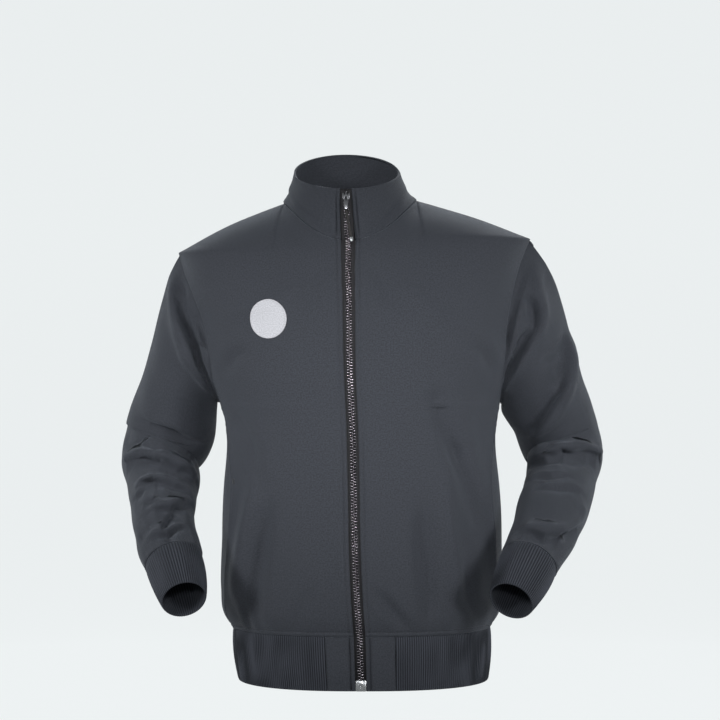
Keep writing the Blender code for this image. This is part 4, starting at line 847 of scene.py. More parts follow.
def body_across(face):
    """Columns of a body panel. One of them is where the neck seam meets the shoulder seam."""
    corner = neck_share(face)
    neck = (shares(20, WELT_COLUMNS) if face == FRONT else shares(16)) * corner
    rest = corner + shares(30, (), (0.006, 0.014, 0.026, 0.045)) * (1 - corner)
    return np.unique(np.round(np.concatenate([neck, rest]), 7))


def armhole_shares():
    """Shares of the armhole's height where rows meet it, closer together towards the shoulder."""
    return 1 - (1 - shares(ARMHOLE_ROWS)) ** ROW_CROWDING


def body_rows():
    """Rows of a body panel, as the 'up' of body_point."""
    return np.concatenate([shares(84, HEM_ROWS), 1 + armhole_shares()[1:]])


def front_grid(side):
    """A front's points, from the zip to the side seam, and their rows."""
    across, up = np.meshgrid(body_across(FRONT), body_rows())
    return body_surface(side, FRONT, across, up), up


def back_grid():
    """From the wearer's left side seam, over the centre back, to the right one."""
    across, up = np.meshgrid(body_across(BACK), body_rows())
    left = body_surface(LEFT, BACK, across, up)[:, ::-1]
    right = body_surface(RIGHT, BACK, across, up)
    grid = np.concatenate([left, right[:, 1:]], axis=1)
    return grid, np.tile(up[:, :1], grid.shape[1])


def sleeve_grid(side):
    """A sleeve's points, with rows closer together from above the elbow down."""
    front = armhole_shares() / 2
    turns = np.concatenate([front, 1 - front[::-1][1:-1]])
    near = (0.0016, 0.0035)
    rows = np.union1d(shares(150, near, near), mix(0.42, 1.0, shares(80)).round(6))
    turn, share = np.meshgrid(turns, rows)
    return sleeve_surface(side, share, turn), share, turn


def flat_places(grid, start=0, ring=False):
    """Distance along each row from its start column, and up each column: the piece laid flat."""
    if ring:
        grid = np.concatenate([grid, grid[:, :1]], axis=1)
    run = np.linalg.norm(np.diff(grid, axis=1), axis=2)
    rise = np.linalg.norm(np.diff(grid, axis=0), axis=2)
    u = np.concatenate([np.zeros((len(grid), 1)), np.cumsum(run, axis=1)], axis=1)
    v = np.concatenate([np.zeros((1, grid.shape[1])), np.cumsum(rise, axis=0)], axis=0)
    return u - u[:, start:start + 1], v


# Relief of the worn cloth


def creases(rows, a, b, scale):
    """Relief of the listed creases, which die away at both ends. A crease with a fuller side is a
    step: the cloth hangs over a steep face there and comes back slowly on the other side. One
    without is a trough with a lip on both sides."""
    total = np.zeros(np.shape(a))
    for depth, width, side, run in rows:
        spots = np.array(run) * scale
        steps = np.linalg.norm(np.diff(spots, axis=0), axis=1)
        starts = run_along(spots)
        nearest = np.full(np.shape(a), 9.0)
        at, left = np.zeros(np.shape(a)), np.zeros(np.shape(a))
        for k, length in enumerate(steps):
            way = (spots[k + 1] - spots[k]) / length
            px, py = a * scale[0] - spots[k][0], b * scale[1] - spots[k][1]
            along = np.clip(px * way[0] + py * way[1], 0, length)
            away = np.hypot(px - along * way[0], py - along * way[1])
            closer = away < nearest
            across = (way[0] * py - way[1] * px) / np.maximum(away, 1e-5)
            left = np.where(closer, np.clip(1.5 * across, -1, 1), left)
            nearest = np.where(closer, away, nearest)
            at = np.where(closer, starts[k] + along, at)
        reach = nearest / (width / 1000)
        taper = np.clip(np.sin(np.pi * (0.04 + 0.92 * at / starts[-1])), 0, 1) ** 0.7
        if side:
            fuller = left * side
            step = fuller * np.tanh(1.6 * reach) * np.exp(-reach / 2.6)
            form = 0.9 * step - 0.8 * np.exp(-(reach / (1 - 0.4 * fuller)) ** 1.5)
        else:
            form = 0.3 * np.exp(-((reach - 1.8) / 0.95) ** 2) - 1.25 * np.exp(-reach ** 1.5)
        total = total + depth / 1000 * taper * form
    return total


def ripples(u, v, seed, low, high, count=9):
    """Gentle uneven waves over a flat piece, about 1 high."""
    draw = np.random.default_rng(seed)
    total = np.zeros(np.shape(u))
    for _ in range(count):
        angle, phase = draw.uniform(0, 2 * np.pi, 2)
        length = draw.uniform(low, high)
        total = total + np.sin((u * np.cos(angle) + v * np.sin(angle)) * 2 * np.pi / length + phase)
    return total / np.sqrt(count)


def gathers(along, seed, pitch):
    """Uneven waves along a seam where cloth is drawn in, about 1 high."""
    draw = np.random.default_rng(seed)
    phase = draw.uniform(0, 2 * np.pi, 4)
    drift = (0.9 * np.sin(along * 2 * np.pi / 0.21 + phase[0])
             + 0.5 * np.sin(along * 2 * np.pi / 0.083 + phase[1]))
    wave = np.sin(along * 2 * np.pi / pitch + 2.2 * drift + phase[2])
    return wave * (0.65 + 0.35 * np.sin(along * 2 * np.pi / 0.17 + phase[3]))


def bell(x, middle, width):
    """1 at the middle, falling away on both sides."""
    return np.exp(-((x - middle) / width) ** 2)


def seam_relief(from_seam, along, seed):
    """The puff of cloth beside a seam, with small puckers from its stitches."""
    fade = np.exp(-from_seam / SEAM_REACH)
    return SEAM_PUFF * fade + SEAM_PUCKER * gathers(along, seed, PUCKER_LENGTH) * fade


def at_edges(*distances):
    """0 on a piece's edges, so that pieces still meet at their seams, and 1 just inside them."""
    inside = np.minimum.reduce(np.broadcast_arrays(*distances))
    return np.clip(inside / EDGE_REACH, 0, 1)


def bulge(distance, rise, fall):
    """Slack cloth beside a seam: it comes up over the rise and dies away over the fall."""
    return (1 - np.exp(-distance / rise)) * np.exp(-distance / fall)


def body_detail(face, grid, up, centre_column):
    """Creases, hem welt, zip welt and seam puffs of a body panel."""
    u, v = flat_places(grid, centre_column)
    from_hem, to_top = v, v[-1:] - v
    to_side = u[:, -1:] - u
    if face == BACK:
        to_side = np.minimum(to_side, u - u[:, :1])
    x, z = grid[..., 0], grid[..., 2]
    relief = creases(FRONT_CREASES if face == FRONT else BACK_CREASES, x, z, (1.0, 1.0))
    relief = relief + 0.0006 * ripples(u, v, seed=11 + face, low=0.09, high=0.24)
    hem_run = u * np.sign(x) if face == BACK else u
    folds = gathers(hem_run + x[:, :1] * 3, seed=21 + face, pitch=HEM_GATHERS)
    relief = relief + SLACK_OVER_HEM * folds * bulge(from_hem, rise=0.014, fall=0.040)
    welt = 0.0009 * bell(from_hem, 0.0030, 0.0020) - 0.0013 * bell(from_hem, STITCH_UP_HEM, 0.0011)
    relief = relief + welt + seam_relief(to_side, v, seed=31 + face)
    relief = relief + seam_relief(to_top, u, seed=41 + face) * np.clip(up - 1, 0, 1)
    edges = [from_hem, to_top, to_side]
    if face == FRONT:
        zip_welt = (0.0006 * bell(u, WELT_FROM_EDGE, WELT_REACH)
                    - 0.0016 * bell(u, STITCH_FROM_ZIP, 0.0012))
        wave = 0.00035 * np.sin(v * 2 * np.pi / 0.041) * np.exp(-u / 0.012)
        relief = relief + zip_welt + wave
        edges.append(u)
    return relief * at_edges(*edges), u, v


def sleeve_detail(side, grid, share, turn):
    """Creases, slack waves and the gathers above the cuff."""
    v = flat_places(grid, 0, True)[1][:, :-1]
    to_cuff = v[-1:] - v
    relief = sum(creases(SLEEVE_CREASES[side], share, turn + whole, SLEEVE_SCALE)
                 for whole in (-1, 0, 1))
    around = 2 * np.pi * turn
    waves = 0.5 * ripples(np.cos(around) * 0.06, v, seed=51 + side, low=0.05, high=0.12)
    waves = waves + 0.5 * ripples(np.sin(around) * 0.06, v, seed=61 + side, low=0.05, high=0.12)
    relief = relief + 0.0008 * waves
    run = turn * SLEEVE_GIRTH
    folds = np.sin(run * 2 * np.pi / (SLEEVE_GIRTH / CUFF_GATHERS) + 3 * np.sin(around))
    relief = relief + SLACK_OVER_CUFF * folds * bulge(to_cuff, rise=0.008, fall=0.022)
    relief = relief + 0.6 * seam_relief(to_cuff, run, seed=81 + side) - 0.0011 * np.exp(-v / 0.005)
    return relief * at_edges(v, to_cuff)


# Meshes


class Cloth:
    """One cut piece: its outer points, their normals and its wall."""

    def __init__(self, name, node, grid, inside, wall=CLOTH, ring=False, flat=None):
        self.name, self.node, self.grid, self.inside = name, node, grid, inside
        self.wall, self.ring = wall, ring
        self.flat = flat or {}    # the plane's normal, for an edge row that is cut flat
        self.normals = grid_normals(grid, ring, inside)

    def raise_by(self, relief):
        """Moves the outer points along their normals."""
        self.grid = self.grid + self.normals * relief[..., None]
        self.normals = grid_normals(self.grid, self.ring, self.inside)

    def rim_places(self):
        """Grid places on the piece's edges."""
        rows, columns = self.grid.shape[:2]
        for i in range(rows):
            for j in range(columns):
                if i in (0, rows - 1) or (not self.ring and j in (0, columns - 1)):
                    yield i, j

    def inward(self, i, j):
        """Unit direction along the cloth from an edge point into the piece."""
        rows, columns = self.grid.shape[:2]
        here = self.grid[i, j]
        total = np.zeros(3)
        if i in (0, rows - 1):
            beside = (j - 1) % columns, (j + 1) % columns
            if not self.ring:
                beside = max(j - 1, 0), min(j + 1, columns - 1)
            seam = self.grid[i, beside[1]] - self.grid[i, beside[0]]
            total += square_to(self.grid[1 if i == 0 else rows - 2, j] - here, seam)
        if not self.ring and j in (0, columns - 1):
            seam = self.grid[min(i + 1, rows - 1), j] - self.grid[max(i - 1, 0), j]
            total += square_to(self.grid[i, 1 if j == 0 else columns - 2] - here, seam)
        return unit(total)

    def faces_of_wall(self, seam_normals):
        """Outer and inner points, with edges drawn back from the seam and cut square to it."""
        outer = self.grid.copy()
        cut = self.normals.copy()
        for i, j in self.rim_places():
            direction = unit(seam_normals[seam_key(self.grid[i, j])])
            back = self.inward(i, j)
            plane = self.flat.get(i)
            if plane is not None:
                direction = unit(direction - plane * np.dot(direction, plane))
                back = plane * np.sign(np.dot(back, plane))
            outer[i, j] += back * SEAM_SHOWS / 2
            cut[i, j] = direction
        return outer, outer - cut * self.wall


def mesh_piece(name, points, faces, finish, corners=None, flat_faces=None):
    """An object from points and faces, with the corners' places on the flat cut for its weave."""
    mesh = bpy.data.meshes.new(name)
    mesh.from_pydata(np.asarray(points).reshape(-1, 3).tolist(), [], [list(map(int, f)) for f in faces])
    smooth = np.ones(len(faces), bool)
    if flat_faces is not None:
        smooth[flat_faces] = False
    mesh.polygons.foreach_set("use_smooth", smooth)
    if corners is not None:
        layer = mesh.uv_layers.new(name="cut")
        layer.data.foreach_set("uv", np.asarray(corners, np.float32).ravel())
    form = bmesh.new()
    form.from_mesh(mesh)
    bmesh.ops.recalc_face_normals(form, faces=form.faces)
    form.to_mesh(mesh)
    form.free()
    mesh.materials.append(finish)
    obj = bpy.data.objects.new(name, mesh)
    bpy.context.scene.collection.objects.link(obj)
    return obj


def shell(name, outer, inner, ring, finish, flat=None):
    """A closed wall between an outer and an inner grid of the same size."""
    rows, columns = outer.shape[:2]
    last = columns if ring else columns - 1
    cut = np.stack(flat or flat_places(outer, 0, ring), axis=2)
    i, j = [k.ravel() for k in np.meshgrid(np.arange(rows - 1), np.arange(last), indexing="ij")]
    k = (j + 1) % columns
    below, above = i * columns, (i + 1) * columns
    quads = np.stack([below + j, below + k, above + k, above + j], 1)
    corner = np.stack([cut[i, j], cut[i, j + 1], cut[i + 1, j + 1], cut[i + 1, j]], 1)
    count = rows * columns
    faces, corners = [quads, quads[:, ::-1] + count], [corner, corner[:, ::-1]]

    def add_rim(a, b, at_a, at_b):
        faces.append(np.stack([a, b, b + count, a + count], 1))
        corners.append(np.stack([at_a, at_b, at_b, at_a], 1))

    j = np.arange(last)
    for row in (0, rows - 1):
        add_rim(row * columns + j, row * columns + (j + 1) % columns, cut[row, j], cut[row, j + 1])
    i = np.arange(rows - 1)
    for column in () if ring else (0, columns - 1):
        add_rim(i * columns + column, (i + 1) * columns + column, cut[i, column], cut[i + 1, column])
    rims = np.arange(2 * len(quads), sum(len(f) for f in faces))
    points = np.concatenate([outer.reshape(-1, 3), inner.reshape(-1, 3)])
    return mesh_piece(name, points, np.concatenate(faces), finish, np.concatenate(corners), rims)


def join_blocks(name, blocks, finish):
    """One object from many small closed shapes, each given as points and faces."""
    points, faces = [], []
    for spots, sides in blocks:
        start = len(points)
        points.extend(spots)
        faces.extend([tuple(start + k for k in side) for side in sides])
    return mesh_piece(name, points, faces, finish)


def loft(rings):
    """Points and faces of a closed shape through rings of equal counts, capped at both ends."""
    count = len(rings[0])
    last = (len(rings) - 1) * count
    faces = [(r + k, r + (k + 1) % count, r + count + (k + 1) % count, r + count + k)
             for r in range(0, last, count) for k in range(count)]
    faces += [tuple(range(count)), tuple(last + k for k in range(count))]
    return np.concatenate(rings), faces


def oval(turn, first, second):
    """Points round a circle or an ellipse, from its two half axes."""
    return np.outer(np.cos(turn), first) + np.outer(np.sin(turn), second)


def stitch(start, end, out, radius):
    """A thread's short bridge from one hole to the next, sunk at both ends."""
    start, end, out = (np.asarray(k, float) for k in (start, end, out))
    way = unit(end - start)
    aside = unit(np.cross(out, way))
    circle = oval(np.arange(6) * np.pi / 3, aside, out)
    return loft([mix(start, end, f) + out * radius * lift + radius * size * circle
                 for f, size, lift in STITCH_FORM])


def sew(piece, rows, columns):
    """Stitches along a line on a piece, at fractional grid places."""
    line, outs = surface_line(piece, rows, columns)
    run = run_along(line)
    count = int(run[-1] / (STITCH_LENGTH + STITCH_GAP))
    blocks = []
    for k in range(count):
        at = (k + 0.5) * run[-1] / count
        ends = read_line(line, run, np.array([at - STITCH_LENGTH / 2, at + STITCH_LENGTH / 2]))
        out = unit(read_line(outs, run, np.array([at]))[0])
        blocks.append(stitch(ends[0], ends[1], out, THREAD))
    return blocks


# Finishes


def tinted(colour, times):
    """A colour made darker or lighter."""
    return tuple(min(1.0, c * times) for c in colour)


class Nodes:
    """A short way to write a material's node tree."""

    def __init__(self, name, colour, roughness, metallic=0.0):
        self.finish = bpy.data.materials.new(name)
        self.finish.use_nodes = True
        self.tree = self.finish.node_tree
        self.shader = self.tree.nodes["Principled BSDF"]
        self.set("Base Color", (*colour, 1))
        self.set("Roughness", roughness)
        self.set("Metallic", metallic)

    def set(self, socket, value):
        self.shader.inputs[socket].default_value = value

    def link(self, source, socket):
        self.tree.links.new(source, self.shader.inputs[socket])

    def add(self, kind, values=(), **settings):
        node = self.tree.nodes.new("ShaderNode" + kind)
        for key, value in settings.items():
            setattr(node, key, value)
        for key, value in dict(values).items():
            if isinstance(value, bpy.types.NodeSocket):
                self.tree.links.new(value, node.inputs[key])
            else:
                node.inputs[key].default_value = value
        return node

    def maths(self, operation, a, b=0.0, c=0.0):
        return self.add("Math", {0: a, 1: b, 2: c}, operation=operation).outputs[0]

    def mainly(self, a, b):
        """Six parts of a to four of b."""
        return self.maths("ADD", self.maths("MULTIPLY", a, 0.6), self.maths("MULTIPLY", b, 0.4))

    def sine(self, value, length):
        """A sine wave of the given length."""
        return self.maths("SINE", self.maths("MULTIPLY", value, 2 * math.pi / length))

    def space(self):
        """Places in the object's own space."""
        return self.add("TexCoord").outputs["Object"]

    def flat_cut(self):
        """Places on the piece laid flat."""
        return self.add("UVMap").outputs[0]

    def parts(self, place):
        """A place's first and second parts."""
        return tuple(self.add("SeparateXYZ", {0: place}).outputs)[:2]

    def blend(self, factor, a, b):
        node = self.add("Mix", data_type="RGBA")
        for key, value in ((0, factor), (6, a), (7, b)):
            if isinstance(value, bpy.types.NodeSocket):
                self.tree.links.new(value, node.inputs[key])
            elif key:
                node.inputs[key].default_value = (*value, 1)
            else:
                node.inputs[key].default_value = value
        return node.outputs[2]

    def noise(self, vector, scale, detail=2.0):
        return self.add("TexNoise", {"Vector": vector, "Scale": scale, "Detail": detail}).outputs[0]

    def sharper(self, value, times):
        """A noise value spread wider about its middle."""
        node = self.add("Math", {0: value, 1: times, 2: 0.5 - 0.5 * times}, operation="MULTIPLY_ADD")
        node.use_clamp = True
        return node.outputs[0]

    def bump(self, height, distance, strength):
        """Raises the finish by a height, without moving the mesh."""
        node = self.add("Bump", {"Height": height, "Distance": distance, "Strength": strength})
        self.link(node.outputs[0], "Normal")

    def loops(self, place, wale, course):
        """Height of knit loops: columns of V-shaped stitches."""
        u, v = self.parts(place)
        across = self.maths("ABSOLUTE", self.sine(u, 2 * wale))
        up = self.maths("MULTIPLY", v, 2 * math.pi / course)
        lean = self.maths("MULTIPLY_ADD", across, 2.4, up)
        return self.mainly(across, self.maths("SINE", lean))

    def yarn_gloss(self, sheen, sheen_roughness, specular):
        """Soft sheen of a fuzzy yarn."""
        self.set("Sheen Weight", sheen)
        self.set("Sheen Roughness", sheen_roughness)
        self.set("Sheen Tint", (*SHEEN_TINT, 1))
        self.set("Specular IOR Level", specular)


def knit(name, colour, wale, course, depth, sheen):
    """Knit cloth: fine loops with painted shade between them, a slightly heathered yarn and a soft
    sheen.
    """
    n = Nodes(name, colour, 0.78)
    place = n.flat_cut()
    loops = n.loops(place, wale, course)
    broad = n.noise(place, 14.0)
    heather = n.sharper(n.noise(place, 520.0, 3.0), 3.2)
    patchy = n.sharper(n.noise(place, 150.0, 2.0), 2.0)
    # dark serves both the heather's darker yarn and the painted shade between the loops
    dark = tinted(colour, 0.52)
    worn = n.blend(n.maths("MULTIPLY_ADD", patchy, 0.5, n.maths("MULTIPLY", broad, 0.5)),
                   tinted(colour, 0.86), tinted(colour, 1.14))
    yarn = n.blend(heather, dark, tinted(colour, 1.55))
    mixed = n.blend(0.6, worn, yarn)
    # Painted shade: the colour goes towards dark where the knit loops are low, between the stitches
    deep = n.blend(n.maths("MULTIPLY_ADD", loops, 0.5, 0.5), dark, mixed)
    n.link(n.blend(0.5, mixed, deep), "Base Color")
    n.bump(loops, depth, 0.8)
    n.link(n.maths("MULTIPLY_ADD", heather, 0.16, 0.70), "Roughness")
    n.yarn_gloss(sheen, 0.45, 0.35)
    return n.finish


def rib_knit(name, colour, groove):
    """1x1 rib: its ridges are in the mesh. The grooves between them get a darker colour, as painted
    shade.
    """
    n = Nodes(name, colour, 0.82)
    ribs, up = n.parts(n.flat_cut())
    crest = n.maths("COSINE", n.maths("MULTIPLY", ribs, 2 * math.pi))
    ridge = n.maths("MULTIPLY_ADD", crest, -0.5, 0.5)
    stretched = n.add("CombineXYZ", {0: ribs, 1: n.maths("MULTIPLY", up, 350.0)}).outputs[0]
    yarn = n.blend(n.noise(stretched, 2.0), tinted(colour, 0.80), tinted(colour, 1.25))
    # Painted shade: the rib's grooves take the dark groove colour, the ridges the yarn colour
    n.link(n.blend(ridge, groove, yarn), "Base Color")
    n.bump(n.sine(up, 0.0013), 0.00012, 0.6)
    n.yarn_gloss(0.12, 0.5, 0.3)
    return n.finish


def woven(name, colour, pitch, depth, roughness=0.7, solid=False):
    """Woven tape or braid. A solid one is read in space and not on the flat cut."""
    n = Nodes(name, colour, roughness)
    place = n.space() if solid else n.flat_cut()
    u, v = n.parts(place)
    twill, cross = n.sine(n.maths("ADD", u, v), pitch), n.sine(v, pitch * 0.8)
    n.link(n.blend(n.noise(place, 700.0), tinted(colour, 0.6), tinted(colour, 1.5)), "Base Color")
    n.bump(n.mainly(twill, cross), depth, 0.8)
    return n.finish


def metal(name, colour, roughness, tint=None, scratch=0.00002, grain=2600.0):
    """Cast and tumbled metal, with fine scratches and uneven gloss."""
    n = Nodes(name, colour, roughness, 1.0)
    place = n.space()
    fine = n.noise(place, grain, 4.0)
    n.link(n.blend(n.noise(place, 260.0), tint or tinted(colour, 0.8), colour), "Base Color")
    n.link(n.maths("MULTIPLY_ADD", fine, 0.22, roughness - 0.08), "Roughness")
    n.bump(fine, scratch, 0.6)
    return n.finish


def thread(name, colour):
    """Twisted sewing thread."""
    n = Nodes(name, colour, 0.6)
    strand = n.noise(n.space(), 1800.0)
    n.link(n.blend(strand, tinted(colour, 0.7), tinted(colour, 1.3)), "Base Color")
    n.bump(strand, 0.0001, 0.7)
    n.set("Sheen Weight", 0.2)
    return n.finish


# Pieces of the jacket


def wear(obj, body, slot, *nodes):
    """Puts a piece on its body and hides the imported nodes that it stands for. The slot is not used.
    """
    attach(obj, body)
    if nodes:
        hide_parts(*nodes)


def make_cloth(finish):
    """Fronts, back, sleeves and collar, which share their seam points. Gives them by node."""
    pieces = []
    for side, name in ((RIGHT, "front_right"), (LEFT, "front_left")):
        grid, up = front_grid(side)
        piece = Cloth(name + "_panel", name, grid, BODY_MIDDLE, flat={0: LEVEL})
        relief, u, v = body_detail(FRONT, grid, up, 0)
        piece.raise_by(relief)
        piece.cut = u * side, v
        pieces.append(piece)
    grid, up = back_grid()
    piece = Cloth("back_panel", "back", grid, BODY_MIDDLE, flat={0: LEVEL})
    relief, *piece.cut = body_detail(BACK, grid, up, grid.shape[1] // 2)
    piece.raise_by(relief)
    pieces.append(piece)
    for side, name in ((RIGHT, "sleeve_right"), (LEFT, "sleeve_left")):
        grid, share, turn = sleeve_grid(side)
        end_axis = sleeve_frame(side, np.array(1.0))[1]
        piece = Cloth(name + "_tube", name, grid, grid.mean(axis=1, keepdims=True), ring=True,
                      flat={len(grid) - 1: end_axis})
        piece.raise_by(sleeve_detail(side, grid, share, turn))
        piece.cut = flat_places(piece.grid, 0, True)
        pieces.append(piece)
    pieces.append(collar_piece())
    total = {}
    for piece in pieces:
        for i, j in piece.rim_places():
            key = seam_key(piece.grid[i, j])
            total[key] = total.get(key, np.zeros(3)) + piece.normals[i, j]
    for piece in pieces:
        outer, inner = piece.faces_of_wall(total)
        obj = shell(piece.name, outer, inner, piece.ring, finish, piece.cut)
        wear(obj, "jacket", "cloth", piece.node)
    return {piece.node: piece for piece in pieces}


def collar_angles():
    """From the left front edge, round the back, to the right front edge."""
    def of_face(face, start):
        across, corner = body_across(face), neck_share(face)
        return mix(start, 90.0, across[across <= corner + 1e-6] / corner)

    left = np.concatenate([of_face(FRONT, zip_angle()), of_face(BACK, 180.0)[::-1][1:]])
    return np.concatenate([left, 360 - left[::-1][1:]])


def collar_piece():
    """The stand-up collar, with the zip's stitched fold at both ends."""
    angle, rise = np.meshgrid(collar_angles(), shares(28, (0.012, 0.03, 0.055), (0.012, 0.03)))
    grid = collar_point(angle, rise)
    piece = Cloth("collar_stand", "collar", grid, np.zeros(3), wall=COLLAR_WALL)
    u, v = flat_places(grid)
    from_front = np.minimum(u, u[:, -1:] - u)
    to_rim = v[-1:] - v
    turn = np.where(angle > 180, angle - 360, angle)
    relief = creases(COLLAR_CREASES, turn, rise, (0.0015, 0.055))
    relief = relief + 0.0007 * ripples(u, v, seed=91, low=0.05, high=0.13)
    relief = relief + seam_relief(v, u, seed=92)
    relief = relief + 0.0005 * bell(to_rim, 0.004, 0.003)
    fold = (bell(from_front, STITCH_FROM_ZIP, 0.0012) * np.clip(rise * 6, 0, 1)
            * np.clip((1 - rise) * 4, 0, 1))
    relief = relief - 0.0030 * fold + 0.0008 * bell(from_front, WELT_FROM_EDGE, WELT_REACH)
    piece.raise_by(relief * at_edges(v, to_rim, from_front))
    piece.cut = u, v
    return piece


def ribs_round(name, node, ends, outs, ring, finish, lean, seed):
    """Ribbed wall between two edges. ends gives the free edge and the seam, at a count of columns.
    outs gives a row's outward directions, and lean is how far the ribs wander."""
    steps = int(run_along(ends(400)[0])[-1] / RIB_SHOWS) * RIB_STEPS
    low, high = ends(steps + 1)
    if ring:
        low, high = low[:-1], high[:-1]
    out_low, out_high = outs(low), outs(high)
    phase = np.arange(len(low)) / RIB_STEPS
    rises = shares(20, (0.006, 0.018, 0.035), (0.012, 0.03))
    draws = np.random.default_rng(seed).uniform(0, 2 * np.pi, 6)
    fronts, backs = [], []
    for rise in rises:
        line = mix(low, high, rise)
        out = unit(mix(out_low, out_high, rise))
        sway = lean * (np.sin(phase * 0.11 + draws[0] + rise * 2.1)
                       + 0.6 * np.sin(phase * 0.29 + draws[1] - rise * 3))
        ridge = 0.5 + 0.5 * np.cos(2 * np.pi * (phase + sway))
        edge = 1 - 0.75 * np.exp(-rise * BAND_HEIGHT / 0.0016)
        pull = np.exp(-(1 - rise) * BAND_HEIGHT / 0.004)
        slack = 0.0010 * np.sin(phase * 0.37 + draws[2]) + 0.0007 * np.sin(phase * 0.83 + draws[3])
        bow = 0.0012 * np.sin(np.pi * rise) + slack * np.sin(np.pi * rise)
        raised = RIB_HEIGHT * ridge ** 0.75 * edge * (1 - 0.55 * pull)
        fronts.append(line + out * (raised + bow - 0.0009 * pull)[:, None])
        backs.append(line + out * (bow - 0.0009 * pull - RIB_WALL * (0.6 + 0.4 * edge))[:, None])
    across, up = np.meshgrid(np.arange(steps + 1) / RIB_STEPS, rises * BAND_HEIGHT)
    obj = shell(name, np.stack(fronts), np.stack(backs), ring, finish, (across, up))
    wear(obj, "jacket", "rib", node)


def make_hem_rib(finish):
    """The waistband's rib, from the left tab round the back to the right one."""
    def ends(columns):
        low, high = even_points(rib_line(0.0), columns), even_points(rib_line(1.0), columns)
        low[:, 2], high[:, 2] = BAND_BOTTOM, HEM_SEAM - GAP / 2
        return low, high

    ribs_round("hem_rib_band", "hem_rib", ends, sideways, False, finish, lean=0.35, seed=5)


def sideways(line):
    """Level outward directions along a row of points."""
    along = np.gradient(line, axis=0)
    out = unit(stack(along[:, 1], -along[:, 0], 0 * along[:, 0]))
    middle = line.mean(axis=0)
    return out if np.sum(out * (line - middle)) > 0 else -out


def make_cuffs(finish):
    """Rib tubes from the sleeves' ends to the wrists."""
    def outs(line):
        return unit(line - line.mean(axis=0))

    for side, name in ((RIGHT, "cuff_right"), (LEFT, "cuff_left")):
        def ends(columns, side=side):
            turn = np.linspace(0, 1, columns)
            along = sleeve_frame(side, np.array(1.0))[1]
            top = sleeve_ring(side, np.full_like(turn, 1.0), turn) + along * GAP / 2
            return sleeve_ring(side, np.full_like(turn, CUFF_END), turn), top

        ribs_round(name + "_band", name, ends, outs, True, finish, lean=0.25, seed=7 + side)


def make_tabs(finish):
    """The waistband's plain ends beside the zip."""
    for side, name in ((RIGHT, "hem_tab_right"), (LEFT, "hem_tab_left")):
        columns = tab_share() * (1 - TAB_END_GAP / TAB_LENGTH) * shares(26, (0.01, 0.03), (0.01, 0.03))
        rises = shares(26, (0.01, 0.025), (0.012, 0.03))
        outer = np.stack([band_point(side, FRONT, columns, r) for r in rises])
        outer[0, :, 2] = BAND_BOTTOM
        outer[-1, :, 2] = HEM_SEAM - GAP / 2
        x, y = outer[..., 0], outer[..., 1]
        out = unit(stack(TAB_CURVE * (x - x.mean()), y, 0 * x))
        u, v = flat_places(outer)
        to_rib = u[:, -1:] - u
        relief = (0.0008 * bell(u, WELT_FROM_EDGE, WELT_REACH)
                  - 0.0036 * bell(u, STITCH_FROM_ZIP, 0.0015))
        relief = relief + seam_relief(to_rib, v, seed=95)
        relief = relief + 0.0006 * ripples(u, v, seed=96 + side, low=0.03, high=0.08)
        relief = relief + 0.0009 * np.sin(np.pi * rises)[:, None]
        outer = outer + out * (relief * at_edges(v, v[-1:] - v, u, to_rib))[..., None]
        outer, out = add_allowance(outer, out)
        u, v = flat_places(outer)
        obj = shell(name + "_cloth", outer, outer - out * CLOTH, False, finish, (u * side, v))
        wear(obj, "jacket", "cloth", name)


def add_allowance(outer, out):
    """A tab's end turned in behind the rib, as its seam allowance."""
    along = unit(outer[:, -1] - outer[:, -3])
    turned, ways = [outer], [out]
    for run, depth in TAB_ALLOWANCE:
        turned.append((outer[:, -1] + along * run - out[:, -1] * depth)[:, None])
        ways.append(out[:, -1:])
    return np.concatenate(turned, axis=1), np.concatenate(ways, axis=1)


# Zip


def zip_edge(side, grid):
    """Up a front's zip edge: edge points, points a little under the cloth, and outward directions."""
    normals = grid_normals(grid, False, BODY_MIDDLE)
    far = np.searchsorted(body_across(FRONT), 1 / (NECK_COLUMNS[FRONT] + SHOULDER_COLUMNS))
    edge, under = grid[:, 0], mix(grid[:, 0], grid[:, far], TAPE_UNDER)
    out = unit(mix(normals[:, 0], normals[:, far], TAPE_UNDER / 2))
    out[0] = (0.0, -1.0, 0.0)
    below = band_point(side, FRONT, np.array([0.0, tab_share() / TAB_COLUMNS]), 0.0)
    first = below[0], mix(below[0], below[1], 1.5 * TAPE_UNDER), np.array([0.0, -1.0, 0.0])
    return [np.concatenate([[a], b]) for a, b in zip(first, (edge, under, out))]


def zip_rows(grids):
    """Stations up the zip: centre, outward direction, and each side's edge and reach."""
    edges = {side: zip_edge(side, grids[side]) for side in (RIGHT, LEFT)}
    last = len(edges[LEFT][0]) - 1
    at = np.concatenate([np.arange(last), [last - 0.4, last - 0.35]])

    def read(points):
        whole = np.floor(at).astype(int)
        return mix(points[whole], points[np.minimum(whole + 1, last)], (at - whole)[:, None])

    centre = read((edges[LEFT][0] + edges[RIGHT][0]) / 2)
    out = read(edges[LEFT][2] + edges[RIGHT][2]) * (0, 1, 1)
    rises = np.linspace(0.0, 1.0, 17)
    collar = collar_point(np.zeros_like(rises), rises)
    collar_out = np.cross(np.gradient(collar, axis=0), (-1.0, 0.0, 0.0))
    sewn_in = ZIP_HALF_GAP + 0.0012
    rows = {"centre": np.concatenate([centre, collar]), "out": unit(np.concatenate([out, collar_out]))}
    wide = len(at) - 1
    for side in (RIGHT, LEFT):
        beside = rows["centre"] + (side * sewn_in, 0, 0)
        middle, reach = mix(rows["centre"], beside, 0.5), beside.copy()
        middle[:wide], reach[:wide] = read(edges[side][0])[:wide], read(edges[side][1])[:wide]
        rows[side] = middle, reach
    return rows


